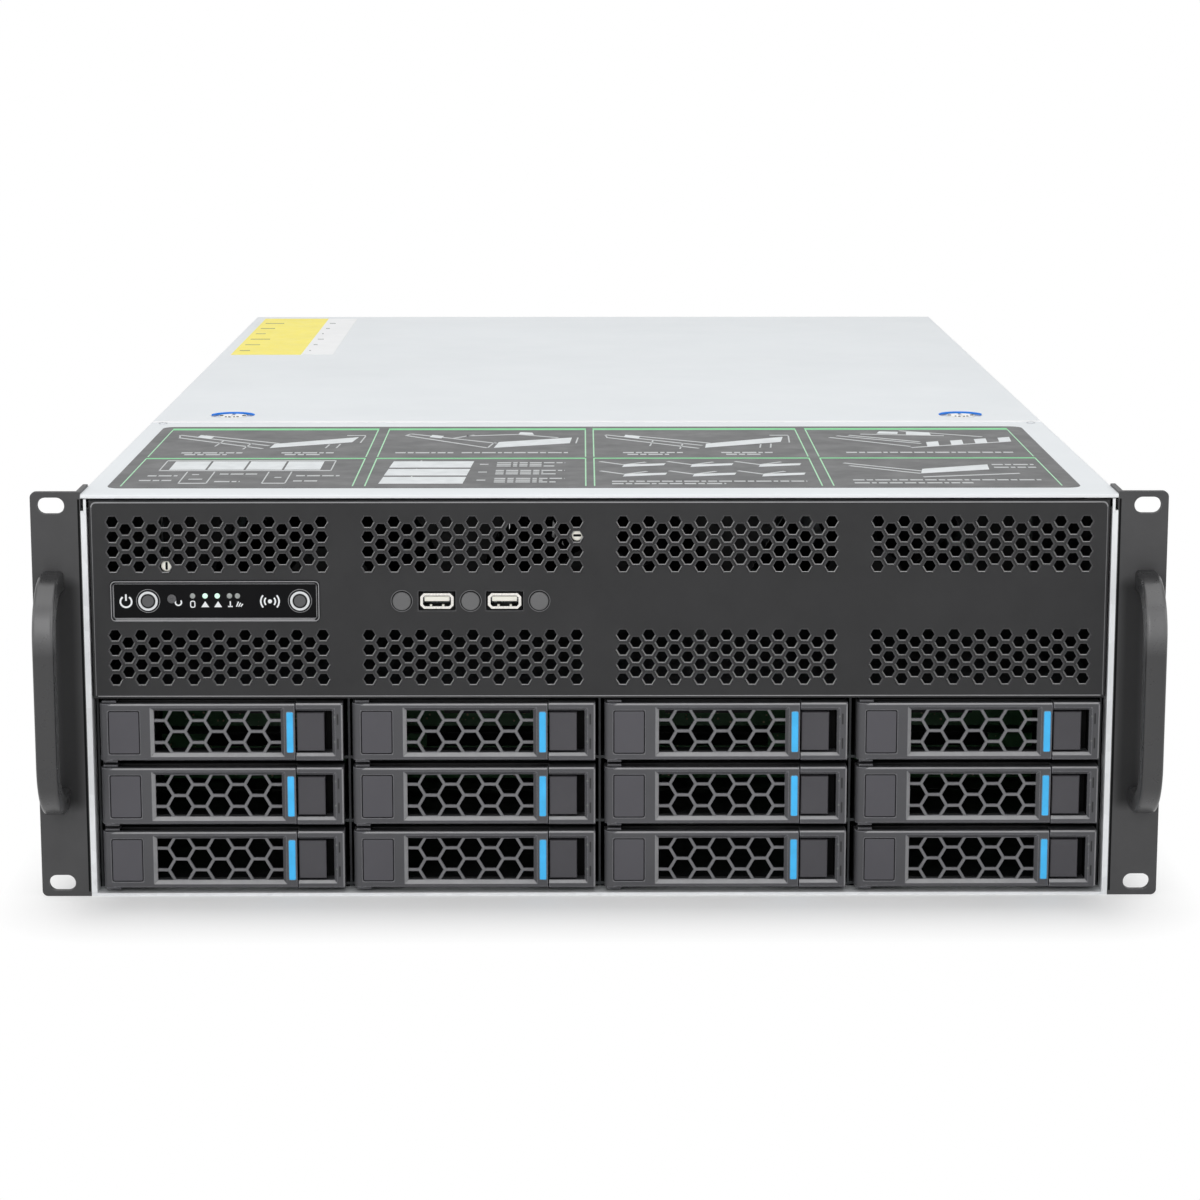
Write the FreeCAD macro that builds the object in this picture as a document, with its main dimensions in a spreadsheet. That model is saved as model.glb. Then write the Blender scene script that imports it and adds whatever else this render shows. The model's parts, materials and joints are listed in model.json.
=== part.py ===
import FreeCAD, Part
import os
import re

import Sketcher

# Four-unit rackmount server chassis with twelve hot-swap drive carriers.
# X runs to the right, Y from the rack face to the rear and Z up from the underside.
# Pieces are drawn from the rack face; place() then moves them so that the origin
# lies under the middle of the whole object.

# Driving dimensions in millimetres, one sheet cell each
DIMENSIONS = {
    # Rack ears and pull handles
    "rack_width": 482.6,
    "ear_rise": 1.0,
    "ear_plate": 2.5,
    "ear_corner": 2.5,
    "ear_flange_sheet": 2.0,
    "ear_flange_depth": 38.0,
    "ear_flange_bevel": 16.0,
    "slot_pitch_x": 465.1,
    "slot_pitch_z": 165.1,
    "slot_length": 11.5,
    "slot_width": 7.0,
    "handle_reach": 32.0,
    "handle_height": 104.0,
    "handle_middle": 91.0,
    "handle_bar": 9.0,
    "handle_bend": 25.0,
    "handle_edge": 1.6,
    # Folded shell
    "body_width": 440.0,
    "body_height": 176.0,
    "body_depth": 760.0,
    "sheet_metal": 1.2,
    "deck_flange": 14.0,
    "hem_depth": 10.0,
    "relief_depth": 3.0,
    "relief_height": 6.0,
    "rail_hole_radius": 2.1,
    "rail_hole_first": 330.0,
    "rail_hole_pitch": 200.0,
    "rail_hole_level": 110.0,
    # Top covers and their locks
    "cover_seam": 234.0,
    "cover_gap": 0.6,
    "lip_gap": 0.9,
    "lip_bend": 0.9,
    "cover_rib_height": 8.0,
    "cover_rib_start": 310.0,
    "cover_rib_inset": 18.0,
    "lock_x": 183.0,
    "lock_setback": 26.0,
    "dimple_radius": 11.0,
    "lock_head_radius": 7.0,
    "lock_head": 1.0,
    "lock_shank_radius": 4.0,
    "lock_fit": 0.1,
    "lock_drop": 5.0,
    "lock_cam_length": 14.0,
    "lock_cam_width": 6.0,
    "lock_cam": 1.5,
    "lock_slot_width": 1.6,
    "lock_slot_depth": 0.6,
    # Front bezel with hexagonal perforation
    "bezel_lift": 2.0,
    "bezel_clearance": 0.3,
    "bezel_face": 0.6,
    "bezel_depth": 10.0,
    "bezel_edge": 1.0,
    "hex_pitch": 6.4,
    "hex_web": 1.5,
    "hex_long_columns": 9,
    "hex_rows": 4,
    "hex_band_spacing": 49.0,
    "port_drop": 0.45,
    # Control panel, buttons and ports in the bezel
    "control_x": -163.9,
    "control_width": 89.0,
    "control_height": 17.6,
    "control_corner": 2.0,
    "control_rim": 1.1,
    "control_proud": 0.4,
    "control_recess": 1.0,
    "control_depth": 8.0,
    "panel_fit": 0.2,
    "button_x_power": -192.5,
    "button_x_locator": -127.8,
    "button_radius": 3.1,
    "button_fit": 0.1,
    "button_proud": 0.5,
    "button_length": 6.0,
    "ring_width": 1.1,
    "ring_proud": 0.3,
    "usb_x": -69.4,
    "usb_pitch": 28.8,
    "usb_width": 14.5,
    "usb_height": 7.0,
    "usb_shell": 0.5,
    "usb_depth": 14.0,
    "usb_floor": 2.0,
    "usb_tongue_width": 11.1,
    "usb_tongue": 1.8,
    "usb_margin": 0.7,
    "plug_x": -84.4,
    "plug_pitch": 29.3,
    "plug_radius": 3.9,
    "plug_cap": 1.4,
    "plug_crown": 0.6,
    "plug_stem_radius": 3.0,
    "plug_stem": 5.0,
    "plug_fit": 0.1,
    # Drive bays and carriers
    "bay_pitch_x": 108.4,
    "bay_pitch_z": 28.3,
    "bay_columns": 4,
    "bay_rows": 3,
    "bay_floor": 3.4,
    "slide_gap": 0.3,
    "cage_back": 199.7,
    "cage_sheet": 1.0,
    "cage_headroom": 2.2,
    "ledge": 1.2,
    "ledge_inset": 1.0,
    "bay_divider": 4.0,
    "carrier_height": 25.2,
    "carrier_length": 188.0,
    "rail_sheet": 1.2,
    "rail_height": 21.0,
    "rail_lip": 2.0,
    "rail_lip_sheet": 0.6,
    "rail_window_length": 40.0,
    "rail_window_height": 9.0,
    "rail_window_pitch": 54.0,
    "rail_windows": 3,
    "frame_play": 1.2,
    "frame_back": 14.0,
    "frame_bar": 2.6,
    "rear_bar": 14.0,
    "lever_end": 31.7,
    "lever_gap": 0.5,
    "lever_sheet": 3.5,
    "lever_edge": 0.6,
    "lever_barrel_radius": 3.6,
    "lever_play": 0.2,
    "hinge_tab": 0.9,
    "hinge_pin_radius": 1.5,
    "hinge_pin_length": 2.6,
    "hinge_fit": 0.1,
    "window_left": -28.8,
    "window_right": 25.6,
    "window_bottom": 3.3,
    "window_top": 21.9,
    "window_bevel": 1.5,
    "mesh_back": 2.9,
    "mesh_sheet": 1.2,
    "mesh_pitch": 9.7,
    "mesh_web": 1.3,
    "mesh_margin": 1.0,
    "label_inset": 0.2,
    "label_right": -34.8,
    "label_bottom": 2.9,
    "label_top": 22.0,
    "label_depth": 0.4,
    "strip_left": 28.2,
    "strip_right": 31.0,
    "strip_bottom": 3.7,
    "strip_top": 21.4,
    "strip_depth": 1.2,
    "strip_proud": 0.3,
    "recess_bottom": 3.3,
    "recess_top": 21.9,
    "recess_back": 9.0,
    "recess_bevel": 1.2,
    "release_width": 11.8,
    "release_travel": 3.0,
    "release_stop": 0.4,
    "release_setback": 0.8,
    "release_margin": 0.9,
    "release_foot": 2.6,
    "release_edge": 0.4,
    # Backplane behind the bays
    "board_sheet": 1.6,
    "backplane_inset": 2.3,
    "backplane_bottom": 3.0,
    "backplane_drop": 1.0,
    "connector_width": 42.0,
    "connector_height": 6.5,
    "connector_depth": 8.0,
    "connector_level": 6.0,
    "backplane_vent_width": 60.0,
    "backplane_vent_height": 9.0,
    "backplane_vent_level": 16.0,
    # Fan wall
    "fan_wall_front": 246.0,
    "fan_wall_drop": 3.8,
    "fan_wall_flange": 6.0,
    "fan_spacing": 15.0,
    "fan_count": 3,
    "fan_size": 120.0,
    "fan_depth": 38.0,
    "fan_corner": 6.0,
    "fan_rim": 2.0,
    "fan_base_radius": 23.0,
    "fan_base": 4.0,
    "fan_strut": 6.0,
    "rotor_hub_radius": 22.0,
    "rotor_front": 5.0,
    "rotor_gap": 0.4,
    "tip_clearance": 2.0,
    "rotor_blades": 7,
    "shaft_radius": 2.0,
    "shaft_fit": 0.1,
    "blade_sheet": 2.0,
    "blade_lift_root": 9.0,
    "blade_lift_tip": 17.0,
    # System board
    "system_left": -206.0,
    "system_width": 305.0,
    "system_depth": 330.0,
    "system_gap": 1.0,
    "standoff_height": 6.4,
    "standoff_radius": 3.0,
    "standoff_inset": 10.0,
    "standoff_columns": 3,
    "standoff_rows": 3,
    "socket_count": 7,
    "socket_pitch": 20.32,
    "socket_first": -194.0,
    "socket_width": 7.5,
    "socket_height": 11.0,
    "socket_length": 90.0,
    "socket_setback": 60.0,
    "memory_count": 8,
    "memory_pitch": 9.5,
    "memory_first": -120.0,
    "memory_width": 6.0,
    "memory_height": 31.0,
    "memory_length": 133.0,
    "memory_front": 20.0,
    "memory_bank_pitch": 118.0,
    "port_block_width": 150.0,
    "port_block_height": 36.0,
    "port_block_depth": 22.0,
    "port_margin": 3.0,
    "jack_width": 14.0,
    "jack_height": 12.0,
    "jack_depth": 14.0,
    "jack_pitch": 18.0,
    "jack_count": 4,
    "serial_width": 31.0,
    "serial_height": 9.0,
    "serial_taper": 2.0,
    "serial_depth": 6.0,
    "stack_columns": 3,
    "stack_rows": 3,
    "stack_pitch": 10.0,
    "cooler_width": 78.0,
    "cooler_length": 108.0,
    "cooler_base": 6.0,
    "cooler_height": 64.0,
    "cooler_fins": 14,
    "cooler_fin": 1.4,
    "cooler_first_x": -166.0,
    "cooler_pitch": 121.0,
    "cooler_front": 34.0,
    # Rear panel
    "io_width": 158.75,
    "io_height": 44.45,
    "io_right": 103.0,
    "io_drop": 2.2,
    "card_opening_width": 15.0,
    "card_opening_height": 100.0,
    "card_opening_bottom": 18.0,
    "card_cover_width": 18.6,
    "card_cover_overlap": 6.0,
    "card_cover_tab": 11.0,
    "rear_hex_pitch": 11.0,
    "rear_hex_web": 2.4,
    "rear_hex_columns": 7,
    "rear_hex_rows": 6,
    "rear_hex_x": 28.0,
    "rear_hex_level": 112.0,
    # Power supplies and their cage
    "supply_width": 73.5,
    "supply_height": 40.0,
    "supply_length": 185.0,
    "supply_gap": 0.3,
    "supply_margin": 6.0,
    "supply_count": 2,
    "supply_end": 18.0,
    "supply_slot_first": 30.0,
    "supply_slot_length": 52.0,
    "supply_slot_width": 3.0,
    "supply_slot_depth": 0.8,
    "supply_slot_pitch": 9.0,
    "supply_slot_count": 12,
    "grip_reach": 22.0,
    "grip_bar": 4.0,
    "grip_corner": 3.0,
    "grip_left": 0.0,
    "grip_width": 32.0,
    "grip_height": 12.0,
    "inlet_x": -19.0,
    "inlet_width": 24.2,
    "inlet_height": 16.6,
    "inlet_bevel": 4.0,
    "inlet_depth": 16.0,
    "inlet_pin_width": 2.0,
    "inlet_pin_height": 4.0,
    "inlet_pin_pitch": 7.0,
    "vent_pitch": 5.6,
    "vent_web": 1.2,
    "vent_columns": 3,
    "vent_rows": 4,
    "vent_left": 6.0,
    "vent_bottom": 9.5,
    "vent_depth": 3.0,
    "catch_width": 3.0,
    "catch_height": 14.0,
    "catch_reach": 12.0,
}

# Sizes that follow from others, so that the pieces stay fitted when a dimension changes
DERIVED = {
    "ear_height": "body_height + ear_rise",
    "carrier_width": "bay_pitch_x - bay_divider",
    "bezel_width": "bay_columns * bay_pitch_x",
    "bezel_bottom": "bay_floor + (bay_rows - 1) * bay_pitch_z + carrier_height + bezel_lift",
    "bezel_top": "body_height - 2 * sheet_metal - bezel_clearance",
    "front_lip": "body_height - bezel_top - lip_gap",
    "port_level": "(bezel_bottom + bezel_top) / 2 - port_drop",
    "frame_front": "2 * lever_barrel_radius + frame_play",
    "label_left": "lever_barrel_radius - carrier_width / 2 + label_inset",
    "recess_right": "lever_end + lever_gap + slide_gap + release_width + release_travel + release_stop",
    "backplane_width": "bezel_width - 2 * backplane_inset",
    "backplane_top": "bezel_bottom - bezel_lift + cage_headroom - backplane_drop",
    "fan_pitch": "fan_size + fan_spacing",
    "fan_level": "body_height / 2",
    "fan_bore_radius": "fan_size / 2 - fan_rim",
    "rotor_tip_radius": "fan_bore_radius - tip_clearance",
    "fan_wall_top": "body_height - sheet_metal - fan_wall_drop",
}

# How close an edge must lie to a spot to be the one chosen there
NEAR = 0.01

# Heights and places that several pieces share, written from the dimensions
HALF = "(body_width / 2)"
DECK = "(body_height - sheet_metal)"
RACK_FACE = "(handle_reach - body_depth - grip_reach) / 2"
HALF_CARRIER = "(carrier_width / 2)"
HALF_BAY = "(bay_pitch_x / 2)"
CAGE_TOP = "(bay_floor + (bay_rows - 1) * bay_pitch_z + carrier_height + cage_headroom)"
MESH_RADIUS = "((mesh_pitch - mesh_web) / sqrt(3))"
MESH_COLUMN = "(mesh_pitch * sqrt(3) / 2)"
CAGE_FRONT = "(bezel_face + bezel_depth + slide_gap)"
HINGE_X = f"(lever_barrel_radius - {HALF_CARRIER})"
FAN_BACK = "(fan_wall_front + sheet_metal + fan_depth)"
BOARD_TOP = "(sheet_metal + standoff_height + board_sheet)"
BOARD_BACK = "(body_depth - sheet_metal - system_gap)"
BOARD_FRONT = f"({BOARD_BACK} - system_depth)"
SUPPLY_X = f"({HALF} - sheet_metal - supply_margin - supply_width / 2)"
SUPPLY_STEP = "(supply_height + 2 * supply_gap + sheet_metal)"
SUPPLY_FLOOR = "(2 * sheet_metal + supply_gap)"

doc = FreeCAD.newDocument("rackmount_chassis")
dims = doc.addObject("Spreadsheet::Sheet", "dims")
for row_number, (dimension, size) in enumerate(DIMENSIONS.items(), start=1):
    dims.set(f"A{row_number}", dimension)
    dims.set(f"B{row_number}", str(size))
    dims.setAlias(f"B{row_number}", dimension)
doc.recompute()
nodes = []


def cells(expression):
    """Turn the names in an expression into references to the sheet's cells."""
    def refer(word):
        name = word.group(0)
        if name in DERIVED:
            return f"({cells(DERIVED[name])})"
        return f"dims.{name}" if name in DIMENSIONS else name
    return re.sub(r"[A-Za-z_]\w*", refer, expression)


def number(expression):
    """Value of an expression of dimension names."""
    return float(dims.evalExpression(cells(expression)))


def bind(item, prop, expression):
    """Tie a property to the sheet."""
    item.setExpression(prop, cells(expression))


def pin(sketch, geometry, vertex, spot):
    """Hold one point of a sketch at a spot given by two expressions."""
    for kind, expression in zip(("DistanceX", "DistanceY"), spot):
        held = Sketcher.Constraint(kind, -1, 1, geometry, vertex, number(expression))
        bind(sketch, f"Constraints[{sketch.addConstraint(held)}]", expression)


def size_radius(sketch, geometry, radius):
    """Hold the radius of a circle or arc."""
    held = Sketcher.Constraint("Radius", geometry, number(radius))
    bind(sketch, f"Constraints[{sketch.addConstraint(held)}]", radius)


def polygon(*corners):
    """Closed outline with straight sides."""
    def draw(sketch):
        spots = [FreeCAD.Vector(number(x), number(y), 0) for x, y in corners]
        first = sketch.GeometryCount
        for start, end in zip(spots, spots[1:] + spots[:1]):
            sketch.addGeometry(Part.LineSegment(start, end), False)
        for index, corner in enumerate(corners):
            following = first + (index + 1) % len(corners)
            sketch.addConstraint(Sketcher.Constraint("Coincident", first + index, 2, following, 1))
            pin(sketch, first + index, 1, corner)
    return draw


def rectangle(left, right, low, high):
    """Rectangle between two pairs of sides."""
    return polygon((left, low), (right, low), (right, high), (left, high))


def hexagon(x, y, radius):
    """Hexagon with a corner to the left and right."""
    return polygon(*((f"{x} + {radius} * cos({turn})", f"{y} + {radius} * sin({turn})")
                     for turn in range(0, 360, 60)))


def circle(x, y, radius):
    """Full circle."""
    def draw(sketch):
        middle = FreeCAD.Vector(number(x), number(y), 0)
        ring = sketch.addGeometry(Part.Circle(middle, FreeCAD.Vector(0, 0, 1), number(radius)), False)
        pin(sketch, ring, 3, (x, y))
        size_radius(sketch, ring, radius)
    return draw


def rounded(left, right, low, high, radius):
    """Rectangle with four round corners; a slot where the radius is half its height."""
    near_x, far_x = f"{left} + {radius}", f"{right} - ({radius})"
    near_y, far_y = f"{low} + {radius}", f"{high} - ({radius})"
    corners = [(far_x, near_y, 270), (far_x, far_y, 0), (near_x, far_y, 90), (near_x, near_y, 180)]

    def draw(sketch):
        bend = number(radius)
        arcs = []
        for x, y, start in corners:
            middle = FreeCAD.Vector(number(x), number(y), 0)
            ring = Part.Circle(middle, FreeCAD.Vector(0, 0, 1), bend)
            begin = FreeCAD.Units.Quantity(f"{start} deg").getValueAs("rad").Value
            turn = FreeCAD.Units.Quantity("90 deg").getValueAs("rad").Value
            arcs.append(sketch.addGeometry(Part.ArcOfCircle(ring, begin, begin + turn), False))
            pin(sketch, arcs[-1], 3, (x, y))
            size_radius(sketch, arcs[-1], radius)
        for arc, following in zip(arcs, arcs[1:] + arcs[:1]):
            start = sketch.getPoint(arc, 2)
            end = sketch.getPoint(following, 1)
            side = sketch.addGeometry(Part.LineSegment(start, end), False)
            sketch.addConstraint(Sketcher.Constraint("Tangent", arc, 2, side, 1))
            sketch.addConstraint(Sketcher.Constraint("Tangent", side, 2, following, 1))
    return draw


def slot(x, y, length, width):
    """Slot with round ends along the sketch's first axis."""
    left, right = f"{x} - {length} / 2 + {width} / 2", f"{x} + {length} / 2 - {width} / 2"

    def draw(sketch):
        ends = []
        for centre, start in ((left, 90), (right, 270)):
            middle = FreeCAD.Vector(number(centre), number(y), 0)
            ring = Part.Circle(middle, FreeCAD.Vector(0, 0, 1), number(f"{width} / 2"))
            begin = FreeCAD.Units.Quantity(f"{start} deg").getValueAs("rad").Value
            turn = FreeCAD.Units.Quantity("180 deg").getValueAs("rad").Value
            ends.append(sketch.addGeometry(Part.ArcOfCircle(ring, begin, begin + turn), False))
            pin(sketch, ends[-1], 3, (centre, y))
            size_radius(sketch, ends[-1], f"{width} / 2")
        for arc, following in (ends, ends[::-1]):
            line = Part.LineSegment(sketch.getPoint(arc, 2), sketch.getPoint(following, 1))
            side = sketch.addGeometry(line, False)
            sketch.addConstraint(Sketcher.Constraint("Tangent", arc, 2, side, 1))
            sketch.addConstraint(Sketcher.Constraint("Tangent", side, 2, following, 1))
    return draw


def running(axis, *spots):
    """Choose the straight edges along an axis that pass through spots of the other two axes."""
    fixed = [index for index in range(3) if index != "XYZ".index(axis)]
    wanted = [tuple(number(part) for part in spot) for spot in spots]

    def chosen(edge):
        if len(edge.Vertexes) != 2:
            return False
        ends = [vertex.Point for vertex in edge.Vertexes]
        return any(all(abs(end[index] - value) < NEAR for end in ends for index, value in zip(fixed, spot))
                   for spot in wanted)
    return chosen


def either(*choices):
    """Choose the edges that any of several choices takes."""
    return lambda edge: any(chosen(edge) for chosen in choices)


class Piece:
    """One solid, built as a body of features bound to the sheet."""

    PLANES = {"front": "XZ_Plane", "top": "XY_Plane", "side": "YZ_Plane"}

    def __init__(self, label):
        self.label = label
        self.body = doc.addObject("PartDesign::Body", label)
        self.body.Label = label

    def origin(self, role):
        """Plane or axis of the body's origin."""
        return next(item for item in self.body.Origin.OriginFeatures if item.Role == role)

    def add(self, kind):
        """New feature of the body."""
        return self.body.newObject(kind, f"{self.label}_{kind.split('::')[1].lower()}")

    def sketch(self, view, level, loops):
        """Sketch seen from the front, top or side at a level of the third axis."""
        sketch = self.add("Sketcher::SketchObject")
        sketch.AttachmentSupport = (self.origin(self.PLANES[view]), [""])
        sketch.MapMode = "FlatFace"
        bind(sketch, "AttachmentOffset.Base.z", f"-({level})" if view == "front" else level)
        for draw in loops:
            draw(sketch)
        return sketch

    def pad(self, view, loops, start, end):
        """Material between two levels of the view's third axis."""
        feature = self.add("PartDesign::Pad")
        feature.Profile = self.sketch(view, end if view == "front" else start, loops)
        bind(feature, "Length", f"({end}) - ({start})")
        self.body.Tip = feature
        return feature

    def pocket(self, view, loops, start, end):
        """Cut between two levels of the view's third axis."""
        feature = self.add("PartDesign::Pocket")
        feature.Profile = self.sketch(view, start if view == "front" else end, loops)
        bind(feature, "Length", f"({end}) - ({start})")
        self.body.Tip = feature
        return feature

    def loft(self, view, *sections):
        """Straight loft between outlines at several levels."""
        feature = self.add("PartDesign::AdditiveLoft")
        sketches = [self.sketch(view, level, [outline]) for level, outline in sections]
        feature.Profile = sketches[0]
        feature.Sections = sketches[1:]
        feature.Ruled = True
        self.body.Tip = feature
        return feature

    def repeat(self, feature, *steps):
        """Repeat a feature along axes; each step is an axis, a pitch and a count."""
        rows = []
        for axis, pitch, count in steps:
            row = self.add("PartDesign::LinearPattern")
            row.Direction = (self.origin(f"{axis}_Axis"), [""])
            bind(row, "Length", f"({pitch}) * (({count}) - 1)")
            bind(row, "Occurrences", count)
            rows.append(row)
        pattern = self.add("PartDesign::MultiTransform")
        pattern.Originals = [feature]
        pattern.Transformations = rows
        self.body.Tip = pattern

    def turn(self, feature, axis, count):
        """Repeat a feature round an axis."""
        pattern = self.add("PartDesign::PolarPattern")
        pattern.Originals = [feature]
        pattern.Axis = (self.origin(f"{axis}_Axis"), [""])
        pattern.Angle = 360
        bind(pattern, "Occurrences", count)
        self.body.Tip = pattern

    def dress(self, kind, size_name, size, chosen):
        """Fillet or chamfer the chosen edges."""
        doc.recompute()
        base = self.body.Tip
        names = [f"Edge{index}" for index, edge in enumerate(base.Shape.Edges, start=1) if chosen(edge)]
        feature = self.add(f"PartDesign::{kind}")
        feature.Base = (base, names)
        bind(feature, size_name, size)
        self.body.Tip = feature

    def fillet(self, radius, chosen):
        """Round the chosen edges."""
        self.dress("Fillet", "Radius", radius, chosen)

    def chamfer(self, size, chosen):
        """Bevel the chosen edges."""
        self.dress("Chamfer", "Size", size, chosen)


def count(name):
    """Whole number of a counted dimension."""
    return round(number(name))


def bay_x(column):
    """Middle of a column of bays, counted from the left."""
    return f"({column} - (bay_columns - 1) / 2) * bay_pitch_x"


def group(label, members):
    """Several solids under one label."""
    compound = doc.addObject("Part::Compound", label)
    compound.Label = label
    compound.Links = members
    return compound


def place(item, x="0", y="0", z="0"):
    """Set an item's place by expressions."""
    for axis, expression in zip("xyz", (x, y, z)):
        bind(item, f"Placement.Base.{axis}", expression)
    return item


def node(item, x="0", y="0", z="0"):
    """Hand a finished piece over under its label, at its place from the rack face."""
    nodes.append(place(item, x, f"{RACK_FACE} + {y}", z))


def mirrored(item):
    """Copy on the other side of the middle plane."""
    copy = doc.addObject("Part::Mirroring", f"{item.Name}_left")
    copy.Source = item
    copy.Normal = FreeCAD.Vector(1, 0, 0)
    return copy


def both_sides(corners):
    """Complete a half outline with its mirror image."""
    return [*corners, *((f"-({x})", y) for x, y in reversed(corners))]


def fused(label, members):
    """One solid joined from several that meet face to face."""
    union = doc.addObject("Part::MultiFuse", label)
    union.Label = label
    union.Shapes = members
    union.Refine = False
    return union


def field_size(columns, rows, pitch):
    """Width and height of a perforated field with staggered columns."""
    return f"((2 * {columns} - 1) * {pitch} * sqrt(3) / 2 + {pitch} / 2)", f"(({rows} + 1 / 4) * {pitch})"


def hex_field(label, columns, rows, pitch, web, front, back):
    """Sheet full of hexagonal holes: long columns, and between them columns with a hole less."""
    field = Piece(label)
    width, height = field_size(columns, rows, pitch)
    sheet = rectangle(f"-{width} / 2", f"{width} / 2", f"-{height} / 2", f"{height} / 2")
    field.pad("front", [sheet], front, back)
    step = f"({pitch} * sqrt(3) / 2)"
    for fewer in (0, 1):
        across, up = f"({columns} - {fewer})", f"({rows} - {fewer})"
        hole = field.pocket("front", [hexagon(f"-({across} - 1) * {step}", f"-({up} - 1) / 2 * {pitch}",
                                              f"(({pitch} - {web}) / sqrt(3))")], front, back)
        field.repeat(hole, ("X", f"2 * {step}", across), ("Z", pitch, up))
    return field.body


def base_tray():
    """Folded floor and sides with turned-in flanges, front hems and rail screw holes, and its standoffs."""
    tray = Piece("tray_sheet")
    inner, flange = f"{HALF} - sheet_metal", f"{HALF} - deck_flange"
    under = f"{DECK} - sheet_metal"
    wall = [(HALF, "0"), (HALF, DECK), (flange, DECK), (flange, under), (inner, under),
            (inner, "sheet_metal")]
    tray.pad("front", [polygon(*both_sides(wall))], "0", "body_depth - sheet_metal")
    hem = f"{inner} - sheet_metal"
    hem_top = f"{DECK} - relief_height"
    tray.pad("front", [rectangle(hem, inner, "sheet_metal", hem_top),
                       rectangle(f"-({inner})", f"-({hem})", "sheet_metal", hem_top)], "0", "hem_depth")
    tray.pocket("side", [rectangle("0", "relief_depth", hem_top, DECK)], f"-{HALF}", HALF)
    hole = tray.pocket("side", [circle("rail_hole_first", "rail_hole_level", "rail_hole_radius")],
                       f"-{HALF}", HALF)
    tray.repeat(hole, ("Y", "rail_hole_pitch", "2"))
    standoff = Piece("standoff")
    standoff.pad("top", [circle("0", "0", "standoff_radius")], "sheet_metal", "sheet_metal + standoff_height")
    pitch_x = "(system_width - 2 * standoff_inset) / (standoff_columns - 1)"
    pitch_y = "(system_depth - 2 * standoff_inset) / (standoff_rows - 1)"
    standoffs = [place(group(f"standoff_{row}_{column}", [standoff.body]),
                       f"system_left + standoff_inset + {column} * {pitch_x}",
                       f"{BOARD_FRONT} + standoff_inset + {row} * {pitch_y}")
                 for row in range(count("standoff_rows")) for column in range(count("standoff_columns"))]
    node(group("base_tray", [tray.body, *standoffs]))


def rear_panel():
    """Rear plate with card, port, supply and vent openings, and a cover blade in each card opening."""
    plate = Piece("rear_plate")
    front, back = "body_depth - sheet_metal", "body_depth"
    plate.pad("front", [rectangle(f"-{HALF}", HALF, "0", DECK)], front, back)
    io_low = f"{BOARD_TOP} - io_drop"
    supply_side = "(supply_width / 2 + supply_gap)"
    plate.pocket("front", [
        rectangle("io_right - io_width", "io_right", io_low, f"{io_low} + io_height"),
        rectangle(f"{SUPPLY_X} - {supply_side}", f"{SUPPLY_X} + {supply_side}", "2 * sheet_metal",
                  f"2 * sheet_metal + supply_count * {SUPPLY_STEP} - sheet_metal"),
    ], front, back)
    card = plate.pocket("front", [rectangle("socket_first - card_opening_width / 2",
                                            "socket_first + card_opening_width / 2", "card_opening_bottom",
                                            "card_opening_bottom + card_opening_height")], front, back)
    plate.repeat(card, ("X", "socket_pitch", "socket_count"))
    width, height = field_size("rear_hex_columns", "rear_hex_rows", "rear_hex_pitch")
    vent = rectangle(f"rear_hex_x - {width} / 2", f"rear_hex_x + {width} / 2",
                     f"rear_hex_level - {height} / 2", f"rear_hex_level + {height} / 2")
    plate.pocket("front", [vent], front, back)
    field = hex_field("rear_field", "rear_hex_columns", "rear_hex_rows", "rear_hex_pitch", "rear_hex_web",
                      front, back)
    vented = fused("rear_plate_vented", [plate.body, place(group("rear_vent", [field]), "rear_hex_x", "0",
                                                           "rear_hex_level")])
    blade = Piece("card_cover")
    top = "card_opening_bottom + card_opening_height + card_cover_overlap"
    low = "card_opening_bottom - card_cover_overlap"
    tab = f"{front} - card_cover_tab"
    inside, crest = f"{front} - sheet_metal", f"{top} + sheet_metal"
    blade.pad("side", [polygon((front, low), (front, crest), (tab, crest), (tab, top), (inside, top),
                               (inside, low))], "-card_cover_width / 2", "card_cover_width / 2")
    covers = [place(group(f"card_cover_{index}", [blade.body]), f"socket_first + {index} * socket_pitch")
              for index in range(count("socket_count"))]
    node(group("rear_panel", [vented, *covers]))


def front_cover():
    """Fixed top sheet over the drive bays with a folded front lip."""
    cover = Piece("front_cover")
    back = "cover_seam - cover_gap / 2"
    lip = "body_height - front_lip"
    cover.pad("side", [polygon(("0", lip), ("sheet_metal", lip), ("sheet_metal", DECK), (back, DECK),
                               (back, "body_height"), ("0", "body_height"))], f"-{HALF}", HALF)
    cover.fillet("lip_bend", running("X", ("0", "body_height")))
    node(cover.body)


def rear_cover():
    """Sliding top sheet with two stiffening ribs and two pressed dimples for its locks."""
    cover = Piece("rear_cover")
    front = "cover_seam + cover_gap / 2"
    cover.pad("top", [rectangle(f"-{HALF}", HALF, front, "body_depth")], DECK, "body_height")
    rib = f"{HALF} - cover_rib_inset"
    rib_low, rib_back = f"{DECK} - cover_rib_height", "body_depth - cover_rib_inset"
    cover.pad("top", [rectangle(rib, f"{rib} + sheet_metal", "cover_rib_start", rib_back),
                      rectangle(f"-({rib} + sheet_metal)", f"-({rib})", "cover_rib_start", rib_back)],
              rib_low, DECK)
    seat = "cover_seam + lock_setback"
    sides = ("lock_x", "-lock_x")
    cover.pad("top", [circle(x, seat, "dimple_radius + sheet_metal") for x in sides],
              f"{DECK} - sheet_metal", DECK)
    cover.pocket("top", [circle(x, seat, "dimple_radius") for x in sides], DECK, "body_height")
    cover.pocket("top", [circle(x, seat, "lock_shank_radius + lock_fit") for x in sides],
                 f"{DECK} - sheet_metal", DECK)
    node(cover.body)


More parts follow.
